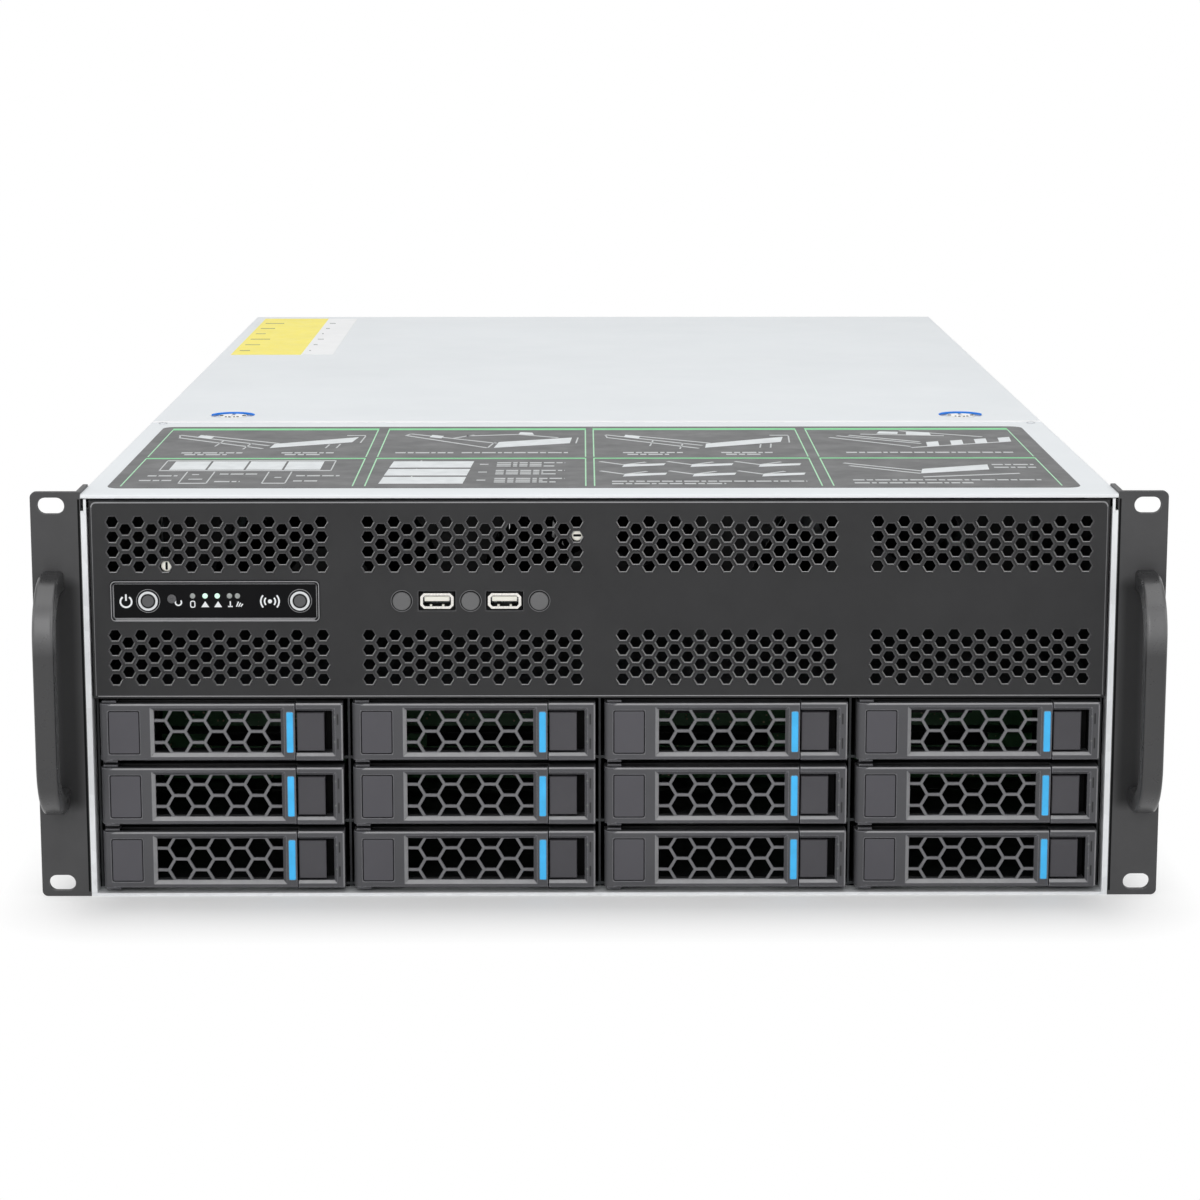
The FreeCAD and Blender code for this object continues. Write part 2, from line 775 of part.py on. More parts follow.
def cover_locks():
    """Quarter-turn locks that sit in the rear cover's dimples, each with a screw slot and a cam."""
    lock = Piece("cover_lock")
    drop = "-(sheet_metal + lock_drop)"
    lock.pad("top", [circle("0", "0", "lock_head_radius")], "0", "lock_head")
    lock.pad("top", [circle("0", "0", "lock_shank_radius")], drop, "0")
    cam = "lock_cam_width / 2"
    lock.pad("top", [rectangle(f"-{cam}", cam, f"{cam} - lock_cam_length", cam)], f"{drop} - lock_cam", drop)
    lock.pocket("top", [rectangle("-lock_slot_width / 2", "lock_slot_width / 2", "-lock_head_radius",
                                  "lock_head_radius")], "lock_head - lock_slot_depth", "lock_head")
    for side, x in (("left", "-lock_x"), ("right", "lock_x")):
        node(group(f"cover_lock_{side}", [lock.body]), x, "cover_seam + lock_setback", DECK)


def front_bezel():
    """Folded upper front with eight groups of hexagonal holes and the port openings."""
    bezel = Piece("bezel_pan")
    half = "(bezel_width / 2)"
    back, inner = "bezel_face + bezel_depth", "bezel_face + sheet_metal"
    bezel.pad("front", [rectangle(f"-{half}", half, "bezel_bottom", "bezel_top")], "bezel_face", back)
    bezel.pocket("front", [rectangle(f"sheet_metal - {half}", f"{half} - sheet_metal",
                                     "bezel_bottom + sheet_metal", "bezel_top - sheet_metal")], inner, back)
    bezel.fillet("bezel_edge", lambda edge: all(abs(end.Point.y - number("bezel_face")) < NEAR
                                                for end in edge.Vertexes))
    panel_x, panel_z = "control_width / 2 + panel_fit", "control_height / 2 + panel_fit"
    bezel.pocket("front", [rounded(f"control_x - ({panel_x})", f"control_x + {panel_x}",
                                   f"port_level - ({panel_z})", f"port_level + {panel_z}", "control_corner")],
                 "bezel_face", inner)
    port_x, port_z = "usb_width / 2 + usb_margin", "usb_height / 2 + usb_margin"
    port = bezel.pocket("front", [rectangle(f"usb_x - ({port_x})", f"usb_x + {port_x}",
                                            f"port_level - ({port_z})", f"port_level + {port_z}")],
                        "bezel_face", inner)
    bezel.repeat(port, ("X", "usb_pitch", "2"))
    plug = bezel.pocket("front", [circle("plug_x", "port_level", "plug_stem_radius + plug_fit")],
                        "bezel_face", inner)
    bezel.repeat(plug, ("X", "plug_pitch", "3"))
    spots = [(bay_x(column), f"port_level + ({band} - 1 / 2) * hex_band_spacing")
             for column in range(count("bay_columns")) for band in range(2)]
    width, height = field_size("hex_long_columns", "hex_rows", "hex_pitch")
    bezel.pocket("front", [rectangle(f"{x} - {width} / 2", f"{x} + {width} / 2", f"{z} - {height} / 2",
                                     f"{z} + {height} / 2") for x, z in spots], "bezel_face", inner)
    field = hex_field("bezel_field", "hex_long_columns", "hex_rows", "hex_pitch", "hex_web",
                      "bezel_face", inner)
    fields = [place(group(f"bezel_field_{index}", [field]), x, "0", z) for index, (x, z) in enumerate(spots)]
    node(fused("front_bezel", [bezel.body, *fields]))


def control_panel():
    """Moulded panel with a raised rim, two button bores and a ring round each."""
    panel = Piece("control_panel")
    left, right = "control_x - control_width / 2", "control_x + control_width / 2"
    low, high = "port_level - control_height / 2", "port_level + control_height / 2"
    front = "bezel_face - control_proud"
    face = f"{front} + control_recess"
    panel.pad("front", [rounded(left, right, low, high, "control_corner")], front, f"{front} + control_depth")
    panel.pocket("front", [rounded(f"{left} + control_rim", f"{right} - control_rim", f"{low} + control_rim",
                                   f"{high} - control_rim", "control_corner - control_rim / 2")], front, face)
    buttons = ("button_x_power", "button_x_locator")
    bore = "button_radius + button_fit"
    panel.pad("front", [circle(x, "port_level", f"{bore} + ring_width") for x in buttons],
              f"{face} - ring_proud", face)
    panel.pocket("front", [circle(x, "port_level", bore) for x in buttons], front, f"{front} + control_depth")
    node(panel.body)
    for name, x in (("power_button", "button_x_power"), ("locator_button", "button_x_locator")):
        button = Piece(name)
        button.pad("front", [circle("0", "0", "button_radius")], "-button_proud", "button_length")
        node(button.body, x, face, "port_level")


def bezel_ports():
    """Two shielded sockets with their tongues, and three round blank plugs between them."""
    port = Piece("usb_port")
    half_x, half_z = "usb_width / 2", "usb_height / 2"
    front, back = "bezel_face", "bezel_face + usb_depth"
    floor = f"{back} - usb_floor"
    port.pad("front", [rectangle(f"-{half_x}", half_x, f"-{half_z}", half_z)], front, back)
    port.pocket("front", [rectangle(f"usb_shell - {half_x}", f"{half_x} - usb_shell", f"usb_shell - {half_z}",
                                    f"{half_z} - usb_shell")], front, floor)
    port.pad("front", [rectangle("-usb_tongue_width / 2", "usb_tongue_width / 2", "0", "usb_tongue")],
             f"{front} + usb_floor", floor)
    pair = [place(group(f"usb_port_{index}", [port.body]), f"usb_x + {index} * usb_pitch", "0", "port_level")
            for index in range(2)]
    node(group("usb_ports", pair))
    plug = Piece("blank_plug")
    plug.pad("front", [circle("0", "0", "plug_radius")], "bezel_face - plug_cap", "bezel_face")
    plug.pad("front", [circle("0", "0", "plug_stem_radius")], "bezel_face", "bezel_face + plug_stem")
    plug.fillet("plug_crown", lambda edge: len(edge.Vertexes) == 1
                and abs(edge.Vertexes[0].Point.y - number("bezel_face - plug_cap")) < NEAR)
    plugs = [place(group(f"blank_plug_{index}", [plug.body]), f"plug_x + {index} * plug_pitch", "0",
                   "port_level") for index in range(3)]
    node(group("blank_plugs", plugs))


def rack_ears():
    """Bent ears with two rack slots each and a flange along the chassis side, and their pull handles."""
    ear = Piece("rack_ear")
    tip, flange = "rack_width / 2", f"{HALF} + ear_flange_sheet"
    ear.pad("top", [polygon((HALF, "0"), (tip, "0"), (tip, "ear_plate"), (flange, "ear_plate"),
                            (flange, "ear_flange_depth"), (HALF, "ear_flange_depth"))], "0", "ear_height")
    hole = ear.pocket("front", [slot("slot_pitch_x / 2", "ear_height / 2 - slot_pitch_z / 2", "slot_length",
                                     "slot_width")], "0", "ear_plate")
    ear.repeat(hole, ("Z", "slot_pitch_z", "2"))
    ear.fillet("ear_corner", running("Y", (tip, "0"), (tip, "ear_height")))
    ear.chamfer("ear_flange_bevel", running("X", ("ear_flange_depth", "0"),
                                            ("ear_flange_depth", "ear_height")))
    node(group("rack_ears", [ear.body, mirrored(ear.body)]))
    handle = Piece("ear_handle")
    left, right = "(slot_pitch_x - handle_bar) / 2", "(slot_pitch_x + handle_bar) / 2"
    low, high = "handle_middle - handle_height / 2", "handle_middle + handle_height / 2"
    inner = "handle_bar - handle_reach"
    handle.pad("side", [rectangle("-handle_reach", "0", low, high)], left, right)
    handle.pocket("side", [rectangle(inner, "0", f"{low} + handle_bar", f"{high} - handle_bar")], left, right)
    handle.fillet("handle_bend", running("X", ("-handle_reach", low), ("-handle_reach", high)))
    handle.fillet("handle_bend - handle_bar", running("X", (inner, f"{low} + handle_bar"),
                                                      (inner, f"{high} - handle_bar")))
    handle.fillet("handle_edge", running("Z", *((side, reach) for side in (left, right)
                                                for reach in ("-handle_reach", inner))))
    node(group("ear_handles", [handle.body, mirrored(handle.body)]))


def drive_cage():
    """Upright dividers under a deck, with a ledge strip on both sides of every bay."""
    outer = "(bay_columns / 2 * bay_pitch_x)"
    deck = Piece("cage_deck")
    deck.pad("front", [rectangle(f"-{outer} - cage_sheet / 2", f"{outer} + cage_sheet / 2", CAGE_TOP,
                                 f"{CAGE_TOP} + cage_sheet")], CAGE_FRONT, "cage_back")
    wall = Piece("cage_wall")
    wall.pad("front", [rectangle("-cage_sheet / 2", "cage_sheet / 2", "sheet_metal", CAGE_TOP)],
             CAGE_FRONT, "cage_back")
    walls = [place(group(f"cage_wall_{index}", [wall.body]), f"{index} * bay_pitch_x - {outer}")
             for index in range(count("bay_columns") + 1)]
    ledge = Piece("cage_ledge")
    top = "bay_floor - slide_gap"
    ledge.pad("front", [rectangle(f"{HALF_CARRIER} - ledge_inset", f"{HALF_BAY} - cage_sheet / 2",
                                  f"{top} - ledge", top)], CAGE_FRONT, "cage_back")
    pair = group("cage_ledge_pair", [ledge.body, mirrored(ledge.body)])
    ledges = [place(group(f"cage_ledges_r{row}c{column}", [pair]), bay_x(column), "0", f"{row} * bay_pitch_z")
              for row in range(count("bay_rows")) for column in range(count("bay_columns"))]
    node(group("drive_cage", [deck.body, *walls, *ledges]))


def backplane():
    """Circuit board behind the bays with a drive connector and a vent slot for each."""
    board = Piece("backplane")
    front = "cage_back + slide_gap"
    half = "backplane_width / 2"
    board.pad("front", [rectangle(f"-{half}", half, "backplane_bottom", "backplane_top")], front,
              f"{front} + board_sheet")
    middle = "-(bay_columns - 1) / 2 * bay_pitch_x"
    bays = (("X", "bay_pitch_x", "bay_columns"), ("Z", "bay_pitch_z", "bay_rows"))
    low = "bay_floor + connector_level"
    plug = board.pad("front", [rectangle(f"{middle} - connector_width / 2", f"{middle} + connector_width / 2",
                                         low, f"{low} + connector_height")],
                     f"{front} - connector_depth", front)
    board.repeat(plug, *bays)
    low = "bay_floor + backplane_vent_level"
    vent = board.pocket("front", [rectangle(f"{middle} - backplane_vent_width / 2",
                                            f"{middle} + backplane_vent_width / 2", low,
                                            f"{low} + backplane_vent_height")],
                        front, f"{front} + board_sheet")
    board.repeat(vent, *bays)
    node(board.body)


def drive_carriers():
    """Carrier, hinged lever with its mesh window, and sliding release, repeated for every bay."""
    carrier = group("carrier", [carrier_front(), *carrier_tray()])
    lever = group("carrier_lever", [lever_face(), lever_strip()])
    release = release_button()
    for row in range(count("bay_rows")):
        for column in range(count("bay_columns")):
            z = f"bay_floor + (bay_rows - 1 - {row}) * bay_pitch_z"
            for name, master in (("drive_tray", carrier), ("tray_lever", lever), ("tray_release", release)):
                node(group(f"{name}_r{row + 1}c{column + 1}", [master]), bay_x(column), "0", z)


def carrier_front():
    """Moulded carrier front: hinge tabs with pins, two bars and the bevelled recess of the release."""
    front = Piece("carrier_front")
    half, top = HALF_CARRIER, "carrier_height"
    block = "lever_end + lever_gap"
    front.pad("front", [rectangle(block, half, "0", top)], "0", "frame_back")
    recess = rectangle(block, "recess_right", "recess_bottom", "recess_top")
    front.pocket("front", [recess], "0", "recess_back")
    front.chamfer("recess_bevel", either(running("X", ("0", "recess_bottom"), ("0", "recess_top")),
                                         running("Z", ("recess_right", "0"))))
    front.chamfer("lever_edge", either(running("X", ("0", "0"), ("0", top)), running("Z", (half, "0"))))
    front.pad("front", [rectangle(f"-{half}", half, "0", "frame_bar"),
                        rectangle(f"-{half}", half, f"{top} - frame_bar", top)], "frame_front", "frame_back")
    post = f"-({half} - 2 * lever_barrel_radius)"
    clear = f"ledge_inset + slide_gap - {half}"
    front.pad("front", [rectangle(f"-{half}", post, "0", top)], "frame_front", "frame_back")
    front.pad("front", [rectangle(clear, post, "-hinge_tab", f"{top} + hinge_tab")],
              "frame_front", "frame_back")
    tabs = [("-hinge_tab", "0", "0", "hinge_pin_length"),
            (top, f"{top} + hinge_tab", f"{top} - hinge_pin_length", top)]
    for low, high, pin_low, pin_high in tabs:
        front.pad("top", [rectangle(clear, post, "lever_barrel_radius / 2", "frame_front")], low, high)
        front.pad("top", [circle(HINGE_X, "lever_barrel_radius", "hinge_pin_radius")], pin_low, pin_high)
    return front.body


def carrier_tray():
    """Sheet floor open in the middle, and a windowed rail standing on each side of it."""
    half = HALF_CARRIER
    inner = f"({half} - rail_sheet)"
    lip = f"({inner} - rail_lip)"
    bar = "carrier_length - rear_bar"
    floor = Piece("carrier_floor")
    sides = [(half, "carrier_length"), (half, "frame_back"), (lip, "frame_back"), (lip, bar)]
    floor.pad("top", [polygon(*both_sides(sides))], "0", "rail_lip_sheet")
    rail = Piece("carrier_rail")
    rail.pad("front", [rectangle(inner, half, "rail_lip_sheet", "rail_height")],
             "frame_back", "carrier_length")
    low = "(rail_height - rail_window_height) / 2"
    start = "frame_back + rear_bar"
    window = rail.pocket("side", [rectangle(start, f"{start} + rail_window_length", low,
                                            f"{low} + rail_window_height")], inner, half)
    rail.repeat(window, ("Y", "rail_window_pitch", "rail_windows"))
    return [floor.body, rail.body, mirrored(rail.body)]


def lever_face():
    """Lever face with a hexagonal mesh in a bevelled window, a label recess and a hinge barrel."""
    lever = Piece("lever_face")
    low, high = "lever_play", "carrier_height - lever_play"
    window = ("window_left", "window_right", "window_bottom", "window_top")
    lever.pad("front", [rectangle("window_left - mesh_margin", "window_right + mesh_margin",
                                  "window_bottom - mesh_margin", "window_top + mesh_margin")],
              "mesh_back - mesh_sheet", "mesh_back")
    middle_x, middle_z = "(window_left + window_right) / 2", "(window_bottom + window_top) / 2"
    for columns, rows in ((4, 3), (3, 2)):
        x = f"{middle_x} - {columns - 1} * {MESH_COLUMN}"
        z = f"{middle_z} - {rows - 1} / 2 * mesh_pitch"
        hole = lever.pocket("front", [hexagon(x, z, MESH_RADIUS)], "mesh_back - mesh_sheet", "mesh_back")
        lever.repeat(hole, ("X", f"2 * {MESH_COLUMN}", str(columns)), ("Z", "mesh_pitch", str(rows)))
    lever.pad("front", [rectangle(HINGE_X, "lever_end", low, high), rectangle(*window)], "0", "lever_sheet")
    lever.chamfer("window_bevel", either(running("Z", ("window_left", "0"), ("window_right", "0")),
                                         running("X", ("0", "window_bottom"), ("0", "window_top"))))
    lever.chamfer("lever_edge", running("X", ("0", low), ("0", high)))
    lever.pad("top", [circle(HINGE_X, "lever_barrel_radius", "lever_barrel_radius")], low, high)
    lever.pocket("top", [circle(HINGE_X, "lever_barrel_radius", "hinge_pin_radius + hinge_fit")], low, high)
    for inset in ("label", "strip"):
        sides = (f"{inset}_{side}" for side in ("left", "right", "bottom", "top"))
        lever.pocket("front", [rectangle(*sides)], "0", f"{inset}_depth")
    return lever.body


def lever_strip():
    """Coloured touch strip set into the lever's free end."""
    strip = Piece("lever_strip")
    strip.pad("front", [rectangle("strip_left", "strip_right", "strip_bottom", "strip_top")], "-strip_proud",
              "strip_depth")
    return strip.body


def release_button():
    """Sliding release with a wider foot that runs in the carrier's recess."""
    button = Piece("release_button")
    left = "lever_end + lever_gap + slide_gap"
    right = f"{left} + release_width"
    back = "recess_back - slide_gap"
    low, high = "recess_bottom + release_margin", "recess_top - release_margin"
    button.pad("front", [rectangle(left, right, low, high)], "release_setback", back)
    face = "release_setback"
    button.chamfer("release_edge", either(running("X", (face, low), (face, high)),
                                          running("Z", (left, face), (right, face))))
    button.pad("front", [rectangle(left, right, "recess_bottom + slide_gap", "recess_top - slide_gap")],
               f"{back} - release_foot", back)
    return button.body


def fan_wall():
    """Partition with three round openings, each with a square fan frame and its motor base behind it."""
    wall = Piece("fan_partition")
    back = "fan_wall_front + sheet_metal"
    half = f"{HALF} - 2 * sheet_metal"
    first = "-(fan_count - 1) / 2 * fan_pitch"
    wall.pad("front", [rectangle(f"-({half})", half, "sheet_metal", "fan_wall_top")], "fan_wall_front", back)
    wall.pad("front", [rectangle(f"-({half})", half, "fan_wall_top - sheet_metal", "fan_wall_top")], back,
             f"{back} + fan_wall_flange")
    hole = wall.pocket("front", [circle(first, "fan_level", "fan_bore_radius")], "fan_wall_front", back)
    wall.repeat(hole, ("X", "fan_pitch", "fan_count"))
    frame = Piece("fan_frame")
    side = "(fan_size / 2)"
    base = f"{FAN_BACK} - fan_base"
    frame.pad("front", [rectangle(f"-{side}", side, f"-{side}", side)], back, FAN_BACK)
    frame.fillet("fan_corner", running("Y", *((f"{x}{side}", f"{z}{side}") for x in "+-" for z in "+-")))
    frame.pocket("front", [circle("0", "0", "fan_bore_radius")], back, FAN_BACK)
    reach = "fan_bore_radius + fan_strut / 2"
    frame.pad("front", [rectangle(f"-({reach})", reach, "-fan_strut / 2", "fan_strut / 2")], base, FAN_BACK)
    frame.pad("front", [rectangle("-fan_strut / 2", "fan_strut / 2", f"-({reach})", reach)], base, FAN_BACK)
    frame.pad("front", [circle("0", "0", "fan_base_radius")], base, FAN_BACK)
    frame.pocket("front", [circle("0", "0", "shaft_radius + shaft_fit")], base, FAN_BACK)
    places = [f"({index} - (fan_count - 1) / 2) * fan_pitch" for index in range(count("fan_count"))]
    node(group("fan_wall", [wall.body, *(place(group(f"fan_frame_{index}", [frame.body]), x, "0", "fan_level")
                                         for index, x in enumerate(places))]))
    rotor = fan_rotor()
    for name, x in zip(("left", "middle", "right"), places):
        node(group(f"fan_rotor_{name}", [rotor]), x, "0", "fan_level")


def fan_rotor():
    """Hub on a shaft with seven twisted blades."""
    rotor = Piece("fan_rotor")
    front = "fan_wall_front + sheet_metal + rotor_front"
    back = f"{FAN_BACK} - fan_base - rotor_gap"
    rotor.pad("front", [circle("0", "0", "rotor_hub_radius")], front, back)
    rotor.pad("front", [circle("0", "0", "shaft_radius")], back, FAN_BACK)
    lead, trail = f"{front} + blade_sheet", f"{back} - blade_sheet"
    tip = "sqrt(rotor_tip_radius ^ 2 - (blade_lift_tip + blade_sheet) ^ 2)"

    def section(lift):
        return polygon((lead, f"-{lift}"), (f"{lead} + blade_sheet", f"-{lift} - blade_sheet / 2"),
                       (trail, lift), (f"{trail} - blade_sheet", f"{lift} + blade_sheet / 2"))

    blade = rotor.loft("side", ("rotor_hub_radius / 2", section("blade_lift_root")),
                       (tip, section("blade_lift_tip")))
    rotor.turn(blade, "Y", "rotor_blades")
    return rotor.body


def system_board():
    """Main board with card sockets, memory rows and rear ports, and two finned coolers on it."""
    board = Piece("main_board")
    right = "system_left + system_width"
    board.pad("top", [rectangle("system_left", right, BOARD_FRONT, BOARD_BACK)], f"{BOARD_TOP} - board_sheet",
              BOARD_TOP)
    back = f"{BOARD_BACK} - socket_setback"
    socket = board.pad("top", [rectangle("socket_first - socket_width / 2", "socket_first + socket_width / 2",
                                         f"{back} - socket_length", back)],
                       BOARD_TOP, f"{BOARD_TOP} + socket_height")
    board.repeat(socket, ("X", "socket_pitch", "socket_count"))
    front = f"{BOARD_FRONT} + memory_front"
    stick = board.pad("top", [rectangle("memory_first", "memory_first + memory_width", front,
                                        f"{front} + memory_length")],
                      BOARD_TOP, f"{BOARD_TOP} + memory_height")
    board.repeat(stick, ("X", "memory_pitch", "memory_count / 2"), ("X", "memory_bank_pitch", "2"))
    cooler = Piece("cooler")
    half = "cooler_width / 2"
    cooler.pad("top", [rectangle(f"-{half}", half, "0", "cooler_length")], "0", "cooler_base")
    fin = cooler.pad("top", [rectangle(f"-{half}", f"cooler_fin - {half}", "0", "cooler_length")],
                     "cooler_base", "cooler_height")
    cooler.repeat(fin, ("X", "(cooler_width - cooler_fin) / (cooler_fins - 1)", "cooler_fins"))
    coolers = [place(group(f"cooler_{index}", [cooler.body]), f"cooler_first_x + {index} * cooler_pitch",
                     f"{BOARD_FRONT} + cooler_front", BOARD_TOP) for index in range(2)]
    node(group("system_board", [board.body, port_block(), *coolers]))


def port_block():
    """Rear port housing: a row of network jacks, a serial port over it and stacks of narrow sockets."""
    ports = Piece("port_block")
    left = "(io_right - io_width / 2 - port_block_width / 2)"
    back = BOARD_BACK
    ports.pad("top", [rectangle(left, f"{left} + port_block_width", f"{back} - port_block_depth", back)],
              BOARD_TOP, f"{BOARD_TOP} + port_block_height")
    low = f"{BOARD_TOP} + port_margin"
    first = f"{left} + port_margin"
    jack = ports.pocket("front", [rectangle(first, f"{first} + jack_width", low, f"{low} + jack_height")],
                        f"{back} - jack_depth", back)
    ports.repeat(jack, ("X", "jack_pitch", "jack_count"))
    upper = f"{low} + jack_height + 2 * port_margin"
    far = f"{first} + serial_width"
    ports.pocket("front", [polygon((f"{first} + serial_taper", upper), (f"{far} - serial_taper", upper),
                                   (far, f"{upper} + serial_height"), (first, f"{upper} + serial_height"))],
                 f"{back} - serial_depth", back)
    stack = f"{first} + jack_count * jack_pitch"
    socket = ports.pocket("front", [rectangle(stack, f"{stack} + usb_width - 2 * usb_shell", low,
                                              f"{low} + usb_height - 2 * usb_shell")],
                          f"{back} - jack_depth", back)
    ports.repeat(socket, ("X", "jack_pitch", "stack_columns"), ("Z", "stack_pitch", "stack_rows"))
    return ports.body


def power_supplies():
    """Stacked supply modules in a cage with a shelf."""
    cage = Piece("supply_cage")
    front, back = "body_depth - sheet_metal - supply_length", "body_depth - sheet_metal"
    side = "supply_width / 2 + supply_gap"
    top = f"2 * sheet_metal + supply_count * {SUPPLY_STEP}"
    openings = [rectangle(f"-({side})", side, f"2 * sheet_metal + {index} * {SUPPLY_STEP}",
                          f"{SUPPLY_FLOOR} + {index} * {SUPPLY_STEP} + supply_height + supply_gap")
                for index in range(count("supply_count"))]
    outside = rectangle(f"-({side} + sheet_metal)", f"{side} + sheet_metal", "sheet_metal", top)
    cage.pad("front", [outside, *openings], front, back)
    node(cage.body, SUPPLY_X)
    supply = group("supply_module", [supply_case(), supply_end()])
    for index, name in enumerate(("lower", "upper")):
        node(group(f"power_supply_{name}", [supply]), SUPPLY_X, "body_depth",
             f"{SUPPLY_FLOOR} + {index} * {SUPPLY_STEP}")


def supply_case():
    """Sheet case of a supply module in front of its end block, with vent slots in its top."""
    case = Piece("supply_case")
    half = "supply_width / 2"
    case.pad("front", [rectangle(f"-{half}", half, "0", "supply_height")], "-supply_length", "-supply_end")
    cut = case.pocket("top", [slot("0", "supply_slot_first - supply_length", "supply_slot_length",
                                   "supply_slot_width")],
                      "supply_height - supply_slot_depth", "supply_height")
    case.repeat(cut, ("Y", "supply_slot_pitch", "supply_slot_count"))
    return case.body


def supply_end():
    """Rear end of a supply module: bevelled inlet with three blades, hexagonal vent, grip and catch."""
    supply = Piece("supply_end")
    half, middle = "supply_width / 2", "(supply_height / 2)"
    supply.pad("front", [rectangle(f"-{half}", half, "0", "supply_height")], "-supply_end", "0")
    left, right = "inlet_x - inlet_width / 2", "inlet_x + inlet_width / 2"
    low, high = f"{middle} - inlet_height / 2", f"{middle} + inlet_height / 2"
    supply.pocket("front", [polygon((left, low), (right, low), (right, f"{high} - inlet_bevel"),
                                    (f"{right} - inlet_bevel", high), (f"{left} + inlet_bevel", high),
                                    (left, f"{high} - inlet_bevel"))], "-inlet_depth", "0")
    blades = [rectangle(f"inlet_x + {step} * inlet_pin_pitch - inlet_pin_width / 2",
                        f"inlet_x + {step} * inlet_pin_pitch + inlet_pin_width / 2",
                        f"{middle} - inlet_pin_height / 2", f"{middle} + inlet_pin_height / 2")
              for step in (-1, 0, 1)]
    supply.pad("front", blades, "-inlet_depth", "-inlet_depth / 4")
    radius = "(vent_pitch - vent_web) / sqrt(3)"
    column = "(vent_pitch * sqrt(3) / 2)"
    for shift in (0, 1):
        spot = (f"vent_left + {shift} * {column}", f"vent_bottom + {shift} * vent_pitch / 2")
        hole = supply.pocket("front", [hexagon(*spot, radius)], "-vent_depth", "0")
        supply.repeat(hole, ("X", f"2 * {column}", f"vent_columns - {shift}"),
                      ("Z", "vent_pitch", "vent_rows"))
    grip_right, grip_low = "grip_left + grip_width", f"{middle} - grip_height / 2"
    bend = "grip_reach - grip_bar"
    supply.pad("top", [polygon(("grip_left", "0"), ("grip_left", "grip_reach"), (grip_right, "grip_reach"),
                               (grip_right, "0"), (f"{grip_right} - grip_bar", "0"),
                               (f"{grip_right} - grip_bar", bend), ("grip_left + grip_bar", bend),
                               ("grip_left + grip_bar", "0"))], grip_low, f"{grip_low} + grip_height")
    supply.fillet("grip_corner", running("Z", ("grip_left", "grip_reach"), (grip_right, "grip_reach")))
    supply.pad("front", [rectangle(f"{half} - catch_width", half, f"{middle} - catch_height / 2",
                                   f"{middle} + catch_height / 2")], "0", "catch_reach")
    return supply.body


def check_model():
    """Stop where a feature failed, a cut removed nothing or a piece has no sound shape."""
    doc.recompute()
    for item in doc.Objects:
        if "Invalid" in item.State or "Error" in item.State:
            raise RuntimeError(f"{item.Label} failed: {item.State}")
        if item.TypeId == "PartDesign::Pocket" and item.Shape.Volume >= item.BaseFeature.Shape.Volume:
            raise RuntimeError(f"{item.Label} cut nothing")
    for item in nodes:
        if item.Shape.isNull() or not item.Shape.isValid():
            raise RuntimeError(f"{item.Label} has no sound shape")


def write_parts():
    """Write one file for each piece."""
    os.makedirs("parts", exist_ok=True)
    for item in nodes:
        item.Shape.exportStep(os.path.join("parts", f"{item.Label}.step"))


for build in (base_tray, rear_panel, front_cover, rear_cover, cover_locks, front_bezel, control_panel,
              bezel_ports, rack_ears, drive_cage, backplane, drive_carriers, fan_wall, system_board,
              power_supplies):
    build()
check_model()
write_parts()
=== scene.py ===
"""Looks of a four-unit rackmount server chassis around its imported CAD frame."""

import json
import logging
import math
from dataclasses import dataclass, field
from enum import Enum
from typing import Any, Callable, Sequence, Union

import bmesh
import bpy
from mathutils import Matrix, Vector

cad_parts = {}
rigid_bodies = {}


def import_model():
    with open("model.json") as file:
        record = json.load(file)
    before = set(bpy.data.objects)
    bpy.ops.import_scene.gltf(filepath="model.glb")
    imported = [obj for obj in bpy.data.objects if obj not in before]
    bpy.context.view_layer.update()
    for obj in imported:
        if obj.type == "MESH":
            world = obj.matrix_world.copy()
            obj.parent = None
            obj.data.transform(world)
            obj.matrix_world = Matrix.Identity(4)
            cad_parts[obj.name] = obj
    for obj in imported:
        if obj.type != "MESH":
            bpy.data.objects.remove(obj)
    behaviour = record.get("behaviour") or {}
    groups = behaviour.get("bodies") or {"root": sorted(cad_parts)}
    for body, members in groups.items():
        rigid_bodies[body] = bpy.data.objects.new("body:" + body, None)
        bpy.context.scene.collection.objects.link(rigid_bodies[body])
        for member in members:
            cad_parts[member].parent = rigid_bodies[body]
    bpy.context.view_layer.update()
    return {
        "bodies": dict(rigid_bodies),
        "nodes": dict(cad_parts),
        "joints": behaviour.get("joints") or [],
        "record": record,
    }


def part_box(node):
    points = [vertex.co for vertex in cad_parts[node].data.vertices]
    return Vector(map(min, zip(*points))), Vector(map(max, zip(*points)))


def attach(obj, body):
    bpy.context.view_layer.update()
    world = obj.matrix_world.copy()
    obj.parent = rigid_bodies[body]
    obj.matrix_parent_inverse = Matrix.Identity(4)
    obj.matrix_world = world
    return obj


LOG = logging.getLogger("chassis")

MM = 0.001
MICRON = 0.000001

# Height of print and other thin trim over what carries it, and how far trim sinks into that.
INK = 0.03 * MM
SEAT = 0.05 * MM

# Length of a bevel of 45 degrees as a factor of its width.
SLOPE = math.sqrt(2)

# Half the width of a front port's shell.
PORT_HALF = 7.25 * MM

# Faces that meet at less than this angle are shaded as one.
SMOOTH_ANGLE = math.radians(40)

Point = tuple[float, float]
Outline = list[Point]
Sides = tuple[float, float, float, float]
Triple = tuple[float, float, float]
Rgb = tuple[int, int, int]
Loop = list[bmesh.types.BMVert]
Socket = bpy.types.NodeSocket
Reach = Union[float, Callable[[float], float]]


def mm(*values: float) -> tuple[float, ...]:
    """Turn millimetres into metres."""
    return tuple(value * MM for value in values)


